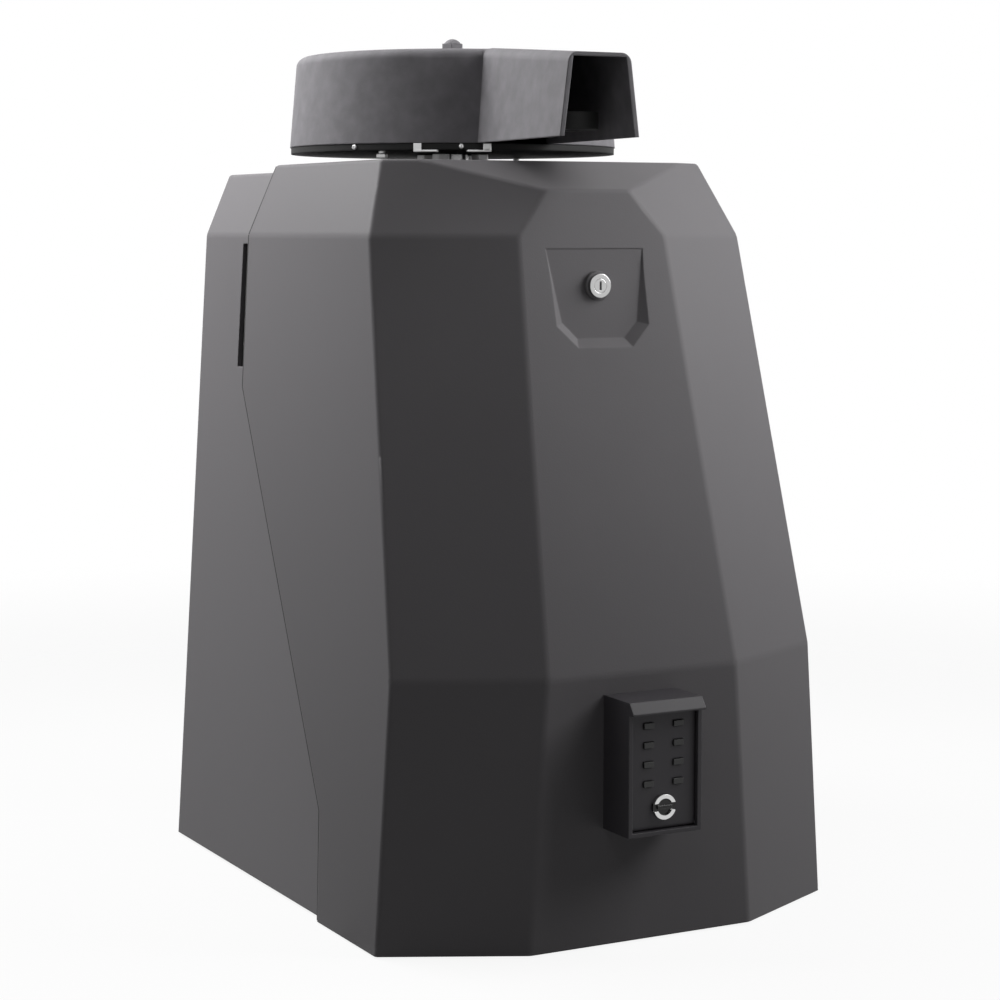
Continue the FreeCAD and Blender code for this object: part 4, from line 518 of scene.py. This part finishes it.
def geometry_tree(name, **kinds):
    """An empty Geometry Nodes tree with named inputs and a material."""
    inputs = [(label.replace("_", " "), kind, None) for label, kind in kinds.items()]
    return new_group(name, inputs + [("Material", MATERIAL, None)], [("Geometry", GEOMETRY)],
                     "GeometryNodeTree")


def joined(tree, *shapes):
    """Several shapes as one."""
    knot = tree.nodes.new("GeometryNodeJoinGeometry")
    for shape in shapes:
        tree.links.new(shape, knot.inputs[0])
    return knot.outputs[0]


def put(tree, shape, place=(0, 0, 0), turn=(0, 0, 0)):
    """A shape turned and moved to its place."""
    return add_node(tree, "GeometryNodeTransform", Geometry=shape, Translation=place,
                    Rotation=turn).outputs[0]


def vector(tree, x=0.0, y=0.0, z=0.0):
    """Three numbers as one vector."""
    return add_node(tree, "ShaderNodeCombineXYZ", X=x, Y=y, Z=z).outputs[0]


def close_tree(tree, given, result, copies):
    """End a tree in plain mesh with its finish."""
    solid = add_node(tree, "GeometryNodeRealizeInstances", Geometry=copies).outputs[0]
    dressed = add_node(tree, "GeometryNodeSetMaterial", Geometry=solid, Material=given["Material"])
    tree.links.new(dressed.outputs[0], result["Geometry"])


def grow(name, tree, body, slot, **values):
    """Run a tree once, keep its result as a plain mesh and let it ride on a body."""
    piece = bpy.data.objects.new(name, bpy.data.meshes.new(name))
    scene.collection.objects.link(piece)
    grower = piece.modifiers.new("grower", "NODES")
    grower.node_group = tree
    values["Material"] = FINISHES[slot]
    for item in tree.interface.items_tree:
        key = item.name.replace(" ", "_")
        if item.in_out == "INPUT" and key in values:
            grower[item.identifier] = values[key]
    ready = piece.evaluated_get(bpy.context.evaluated_depsgraph_get())
    made = bpy.data.meshes.new_from_object(ready)
    piece.modifiers.remove(grower)
    piece.data = made
    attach(piece, body)
    print(name, len(made.polygons), "faces on", body)


print("tree helpers ready")

# %% [markdown]
# In each side of the rear cover is a tall vent slot, and flat ribs across its width keep fingers out. Each
# rib is a small plate just under the surface: an outline with rounded corners, filled and lifted. A row of
# four follows the wall's lean.

# %% Ribs in the vent slots
CORNER_STEPS = 3
WELD_GAP = 0.00002
RIB_CORNER = 0.0006
RIB_RISE = 0.0242
RIB_LEAN = 0.00156
LOWEST_RIB = (0.1962, 0.0705, 0.531)


def raised(tree, outline, height):
    """A closed outline filled, lifted along Z and closed underneath."""
    sheet = add_node(tree, "GeometryNodeFillCurve", {"mode": "NGONS"}, Curve=outline).outputs[0]
    lifted = add_node(tree, "GeometryNodeExtrudeMesh", Mesh=sheet, Offset_Scale=height, Individual=False)
    under = add_node(tree, "GeometryNodeFlipFaces", Mesh=sheet)
    shell = joined(tree, lifted.outputs[0], under.outputs[0])
    return add_node(tree, "GeometryNodeMergeByDistance", Geometry=shell, Distance=WELD_GAP).outputs[0]


def plate(tree, width, height, thickness, corner):
    """A plate in XY with rounded corners, its thickness up along Z."""
    edge = add_node(tree, "GeometryNodeCurvePrimitiveQuadrilateral", Width=width, Height=height).outputs[0]
    soft_edge = add_node(tree, "GeometryNodeFilletCurve", {"mode": "POLY"}, Curve=edge, Radius=corner,
                         Count=CORNER_STEPS)
    return raised(tree, soft_edge.outputs[0], thickness)


def in_row(tree, shape, count, step):
    """Copies of a shape along a line."""
    points = add_node(tree, "GeometryNodeMeshLine", Count=count, Offset=step).outputs[0]
    return add_node(tree, "GeometryNodeInstanceOnPoints", Points=points, Instance=shape).outputs[0]


ribs, given, result = geometry_tree("vent_ribs", Count=WHOLE, Step=VECTOR, Place=VECTOR, Depth=VALUE,
                                    Length=VALUE, Thickness=VALUE)
rib = plate(ribs, given["Depth"], given["Length"], given["Thickness"], RIB_CORNER)
close_tree(ribs, given, result, put(ribs, in_row(ribs, rib, given["Count"], given["Step"]), given["Place"]))
for side, name in ((-1, "vent_ribs_left"), (1, "vent_ribs_right")):
    outward, depth, height = LOWEST_RIB
    grow(name, ribs, "frame", "cover_plastic", Count=4, Step=(-side * RIB_LEAN, 0.0, RIB_RISE),
         Place=(side * outward, depth, height), Depth=0.0035, Length=0.028, Thickness=0.002)

# %% [markdown]
# A dark rubber seal lies along the edge of the front cover, where it laps over the rear one; it is painted
# shade, standing for the shadowed gap between the covers. The seam's
# corners are known in depth and height, and the cover's leaning side gives how far out each of them stands.
# A round bar along each run is enough, because only its rear half shows.

# %% Dark seal along the seam of the covers, as painted shade
SEAM = [(-0.191, 0.003), (-0.182, 0.106), (0.058, 0.490), (0.061, 0.643), (0.050, 0.711)]
SIDE_FLOOR = cad_box[1][0]
SIDE_SHOULDER = 0.1995
SIDE_DECK = 0.1725
SHOULDER_HEIGHT = 0.643
DECK_HEIGHT = 0.713
SHADE_SEAL_STEPS = 12


def side_reach(height):
    """How far out the front cover's side stands at a height."""
    if height < SHOULDER_HEIGHT:
        return SIDE_FLOOR + (SIDE_SHOULDER - SIDE_FLOOR) * height / SHOULDER_HEIGHT
    above = (height - SHOULDER_HEIGHT) / (DECK_HEIGHT - SHOULDER_HEIGHT)
    return SIDE_SHOULDER + (SIDE_DECK - SIDE_SHOULDER) * above


def circle(tree, radius, steps):
    """A closed round outline in XY, or a hexagon with six steps."""
    return add_node(tree, "GeometryNodeCurvePrimitiveCircle", Resolution=steps, Radius=radius).outputs[0]


shade_seal, given, result = geometry_tree("seam_seal", Radius=VALUE, Lap=VALUE, Side=VALUE)
corners = []
for depth, height in SEAM:
    outward = maths(shade_seal, "SUBTRACT", side_reach(height), given["Radius"])
    corners.append(vector(shade_seal, maths(shade_seal, "MULTIPLY", outward, given["Side"]),
                          maths(shade_seal, "ADD", given["Lap"], depth), height))
runs = [add_node(shade_seal, "GeometryNodeCurvePrimitiveLine", Start=start, End=end).outputs[0]
        for start, end in zip(corners, corners[1:])]
bars = add_node(shade_seal, "GeometryNodeCurveToMesh", Curve=joined(shade_seal, *runs),
                Profile_Curve=circle(shade_seal, given["Radius"], SHADE_SEAL_STEPS), Fill_Caps=True)
close_tree(shade_seal, given, result, bars.outputs[0])
for side, name in ((-1.0, "seam_seal_left"), (1.0, "seam_seal_right")):
    grow(name, shade_seal, "cover", "rubber", Radius=0.0022, Lap=0.002, Side=side)

# %% [markdown]
# Under the hood is a black disc, held by bright spring clips that hook round its rim in two opposite pairs.
# A clip is a strip below the disc with a short upright leg at its outer end. One pair is made first and is
# then copied to the other side, so both stay alike. The clips turn with the arm.

# %% Clips of the hood's disc
DISC_LOW, DISC_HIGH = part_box("hood_plate")
DISC_RADIUS = DISC_HIGH[0]
CLIP_PAIR = math.radians(-117)
CLIP_ANGLE = math.radians(8.7)
LEG_ANGLE = math.radians(11.6)
STRIP_CORNER = 0.0015
LEG_CORNER = 0.0005
LEG_PROUD = 0.55


def in_ring(tree, shape, count, radius, start, step):
    """Copies of a shape about Z, each with its X turned outwards."""
    points = add_node(tree, "GeometryNodeMeshLine", Count=count).outputs[0]
    index = add_node(tree, "GeometryNodeInputIndex").outputs[0]
    angle = maths(tree, "MULTIPLY_ADD", index, step, start)
    spot = vector(tree, maths(tree, "MULTIPLY", maths(tree, "COSINE", angle), radius),
                  maths(tree, "MULTIPLY", maths(tree, "SINE", angle), radius))
    placed = add_node(tree, "GeometryNodeSetPosition", Geometry=points, Position=spot).outputs[0]
    return add_node(tree, "GeometryNodeInstanceOnPoints", Points=placed, Instance=shape,
                    Rotation=vector(tree, z=angle)).outputs[0]


clips, given, result = geometry_tree("rim_clips", Radius=VALUE, Height=VALUE, Strip_Width=VALUE,
                                     Strip_Length=VALUE, Sheet=VALUE, Leg_Width=VALUE, Leg_Height=VALUE)
strip = plate(clips, given["Strip Width"], given["Strip Length"], given["Sheet"], STRIP_CORNER)
leg = plate(clips, given["Sheet"], given["Leg Width"], given["Leg Height"], LEG_CORNER)
inset = maths(clips, "MULTIPLY_ADD", given["Strip Width"], -0.5, given["Sheet"])
strips = in_ring(clips, strip, 2, maths(clips, "ADD", given["Radius"], inset), -CLIP_ANGLE, 2 * CLIP_ANGLE)
proud = maths(clips, "MULTIPLY_ADD", given["Sheet"], LEG_PROUD, given["Radius"])
legs = in_ring(clips, leg, 2, proud, -LEG_ANGLE, 2 * LEG_ANGLE)
pairs = in_ring(clips, joined(clips, strips, legs), 2, 0.0, CLIP_PAIR, math.pi)
below = maths(clips, "SUBTRACT", given["Height"], given["Sheet"])
close_tree(clips, given, result, put(clips, pairs, vector(clips, z=below)))
grow("hood_clips", clips, "output", "zinc_steel", Radius=DISC_RADIUS, Height=DISC_LOW[2], Strip_Width=0.009,
     Strip_Length=0.022, Sheet=0.002, Leg_Width=0.008, Leg_Height=0.0082)

# %% [markdown]
# Slotted screws in the disc's rim hold the hood on, again in two opposite pairs. A head is a disc under two
# half discs with a slot between them, which needs no cutting and keeps the mesh clean.

# %% Screws in the rim of the hood's disc
SCREW_PAIR = math.radians(-133)
SCREW_ANGLE = math.radians(19)
HEAD_STEPS = 20
BOW_STEPS = 11
RIM_SLOT = 0.0006


def slotted_head(tree, radius, height, slot):
    """A round screw head along Z: a disc under two half discs with a slot between them."""
    low = maths(tree, "MULTIPLY", height, 0.5)
    halves = []
    for side in (0.0, math.pi):
        bow = add_node(tree, "GeometryNodeCurveArc", Resolution=BOW_STEPS, Start_Angle=side,
                       Sweep_Angle=math.pi, Radius=maths(tree, "SUBTRACT", radius, slot)).outputs[0]
        closed = add_node(tree, "GeometryNodeSetSplineCyclic", Geometry=bow, Cyclic=True).outputs[0]
        away = maths(tree, "MULTIPLY", slot, math.cos(side) * 0.5)
        halves.append(put(tree, raised(tree, closed, low), vector(tree, y=away, z=low)))
    return joined(tree, raised(tree, circle(tree, radius, HEAD_STEPS), low), *halves)


rim, given, result = geometry_tree("rim_screws", Radius=VALUE, Height=VALUE, Head_Radius=VALUE,
                                   Head_Height=VALUE)
head = slotted_head(rim, given["Head Radius"], given["Head Height"], RIM_SLOT)
outward_head = put(rim, head, turn=(0, QUARTER, 0))
pair = in_ring(rim, outward_head, 2, given["Radius"], -SCREW_ANGLE, 2 * SCREW_ANGLE)
pairs = in_ring(rim, pair, 2, 0.0, SCREW_PAIR, math.pi)
close_tree(rim, given, result, put(rim, pairs, vector(rim, z=given["Height"])))
grow("hood_rim_screws", rim, "output", "zinc_steel", Radius=DISC_RADIUS,
     Height=(DISC_LOW[2] + DISC_HIGH[2]) / 2, Head_Radius=0.0024, Head_Height=0.002)

# %% [markdown]
# Two hexagon bolts hang under the disc. A head is a circle of six steps, lifted, on a round collar that is
# also the shank. The ring is built upright and each bolt is turned over to point down.

# %% Bolts under the hood's disc
HEXAGON = 6
SHANK_STEPS = 16
SHANK_SHARE = 0.6
SHANK_REACH = 0.98


def hexagon_bolt(tree, radius, height, shank):
    """A hexagon head along Z, standing on a round collar and shank."""
    collar = circle(tree, maths(tree, "MULTIPLY", radius, SHANK_SHARE), SHANK_STEPS)
    reach = maths(tree, "MULTIPLY", maths(tree, "ADD", height, shank), SHANK_REACH)
    return joined(tree, raised(tree, collar, reach),
                  put(tree, raised(tree, circle(tree, radius, HEXAGON), height), vector(tree, z=shank)))


studs, given, result = geometry_tree("disc_bolts", Count=WHOLE, Radius=VALUE, Height=VALUE,
                                     Head_Radius=VALUE, Head_Height=VALUE, Shank=VALUE, Start=VALUE)
bolt = hexagon_bolt(studs, given["Head Radius"], given["Head Height"], given["Shank"])
ring = in_ring(studs, put(studs, bolt, turn=(math.pi, 0, 0)), given["Count"], given["Radius"],
               given["Start"], maths(studs, "DIVIDE", 2 * math.pi, given["Count"]))
close_tree(studs, given, result, put(studs, ring, vector(studs, z=given["Height"])))
grow("hood_disc_bolts", studs, "output", "zinc_steel", Count=2, Radius=0.15, Height=DISC_LOW[2],
     Head_Radius=0.0055, Head_Height=0.004, Shank=0.003, Start=math.radians(-144))

# %% [markdown]
# The motor's shell carries fins that shed its heat, and the cast gearbox has short upright ribs round its
# back. Both are plates in a ring. The motor lies along X, so its ring is built about Z and then laid over,
# with a gap left underneath for the foot.

# %% Fins on the motor and ribs on the gearbox
MOTOR_LOW, MOTOR_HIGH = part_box("motor_end_bells")
MOTOR_RADIUS = (MOTOR_HIGH[2] - MOTOR_LOW[2]) / 2
MOTOR_Y = (MOTOR_LOW[1] + MOTOR_HIGH[1]) / 2
MOTOR_Z = (MOTOR_LOW[2] + MOTOR_HIGH[2]) / 2
CASE_LOW, CASE_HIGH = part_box("gearbox_case")
FIN_CORNER = 0.0008
FIN_COUNT = 40
FIN_SWEEP = 260

fins, given, result = geometry_tree("heat_fins", Count=WHOLE, Radius=VALUE, Start=VALUE, Step=VALUE,
                                    Height=VALUE, Thickness=VALUE, Length=VALUE, Place=VECTOR, Turn=ROTATION)
fin = plate(fins, given["Height"], given["Thickness"], given["Length"], FIN_CORNER)
ring = in_ring(fins, fin, given["Count"], given["Radius"], given["Start"], given["Step"])
close_tree(fins, given, result, put(fins, ring, given["Place"], given["Turn"]))
grow("motor_fins", fins, "frame", "motor_paint", Count=FIN_COUNT, Radius=MOTOR_RADIUS + 0.0025,
     Start=math.radians(50), Step=math.radians(FIN_SWEEP / (FIN_COUNT - 1)), Height=0.006,
     Thickness=0.0025, Length=0.17, Place=(-0.09, MOTOR_Y, MOTOR_Z), Turn=(0.0, QUARTER, 0.0))
grow("gearbox_ribs", fins, "frame", "cast_iron", Count=15, Radius=CASE_HIGH[0] + 0.001,
     Start=math.radians(6), Step=math.radians(12), Height=0.004, Thickness=0.005, Length=0.07,
     Place=(0.0, 0.0, CASE_LOW[2] + 0.01), Turn=(0.0, 0.0, 0.0))

# %% [markdown]
# The circuit board's terminals are a row of screws, which show once the front cover is drawn off. The board
# stands upright and faces forwards, so each shape is laid over to point along the board's own front.

# %% Screws of the terminals
FORWARD = (QUARTER, 0.0, 0.0)
TERMINAL_DEPTH = 0.014
TERMINAL_SLOT = 0.0009

screws, given, result = geometry_tree("terminal_screws", Count=WHOLE, Step=VALUE, Radius=VALUE,
                                      Height=VALUE, Place=VECTOR)
head = slotted_head(screws, given["Radius"], given["Height"], TERMINAL_SLOT)
copies = in_row(screws, put(screws, head, turn=FORWARD), given["Count"], vector(screws, x=given["Step"]))
close_tree(screws, given, result, put(screws, copies, given["Place"]))
grow("terminal_screws", screws, "frame", "zinc_steel", Count=10, Step=0.014, Radius=0.0038, Height=0.0014,
     Place=(-0.0755, BOARD_FRONT - TERMINAL_DEPTH, 0.365))

# %% [markdown]
# A row of aluminium capacitors stands above the terminals. Each is a round can with a narrower neck on its
# end, where the sheet is rolled in.

# %% Capacitors on the board
CAN_STEPS = 24
NECK_SHARE = 0.86
NECK_RISE = 0.06

cans, given, result = geometry_tree("board_cans", Count=WHOLE, Step=VALUE, Radius=VALUE, Height=VALUE,
                                    Place=VECTOR)
wall = circle(cans, given["Radius"], CAN_STEPS)
neck = circle(cans, maths(cans, "MULTIPLY", given["Radius"], NECK_SHARE), CAN_STEPS)
shoulder = raised(cans, neck, maths(cans, "MULTIPLY", given["Height"], NECK_RISE))
can = joined(cans, raised(cans, wall, given["Height"]), put(cans, shoulder, vector(cans, z=given["Height"])))
copies = in_row(cans, put(cans, can, turn=FORWARD), given["Count"], vector(cans, x=given["Step"]))
close_tree(cans, given, result, put(cans, copies, given["Place"]))
grow("board_cans", cans, "frame", "capacitor_can", Count=4, Step=0.018, Radius=0.0065, Height=0.018,
     Place=(-0.072, BOARD_FRONT, 0.445))

# %% [markdown]
# Two rows of chips fill the space between. A chip is a slab on a row of feet that reach out on both sides.
# The feet are plates that run right through under the slab, so one row serves both sides.

# %% Chips on the board
SLAB_CORNER = 0.0006
SLAB_LIFT = 0.0008
FOOT_THICKNESS = 0.0012
FOOT_CORNER = 0.0002
FOOT_SHARE = 0.4
FOOT_REACH = 1.4

chips, given, result = geometry_tree("board_chips", Count=WHOLE, Step=VALUE, Length=VALUE, Width=VALUE,
                                     Height=VALUE, Legs=WHOLE, Place=VECTOR)
slab = plate(chips, given["Length"], given["Width"], given["Height"], SLAB_CORNER)
pitch = maths(chips, "DIVIDE", given["Length"], given["Legs"])
first = maths(chips, "MULTIPLY_ADD", pitch, 0.5, maths(chips, "MULTIPLY", given["Length"], -0.5))
foot = plate(chips, maths(chips, "MULTIPLY", pitch, FOOT_SHARE),
             maths(chips, "MULTIPLY", given["Width"], FOOT_REACH), FOOT_THICKNESS, FOOT_CORNER)
feet = put(chips, in_row(chips, foot, given["Legs"], vector(chips, x=pitch)), vector(chips, x=first))
chip = put(chips, joined(chips, put(chips, slab, (0, 0, SLAB_LIFT)), feet), turn=FORWARD)
copies = in_row(chips, chip, given["Count"], vector(chips, x=given["Step"]))
close_tree(chips, given, result, put(chips, copies, given["Place"]))
for name, height in (("board_chips_1", 0.395), ("board_chips_2", 0.418)):
    grow(name, chips, "frame", "black_plastic", Count=3, Step=0.028, Length=0.02, Width=0.007,
         Height=0.0035, Legs=8, Place=(-0.068, BOARD_FRONT, height))
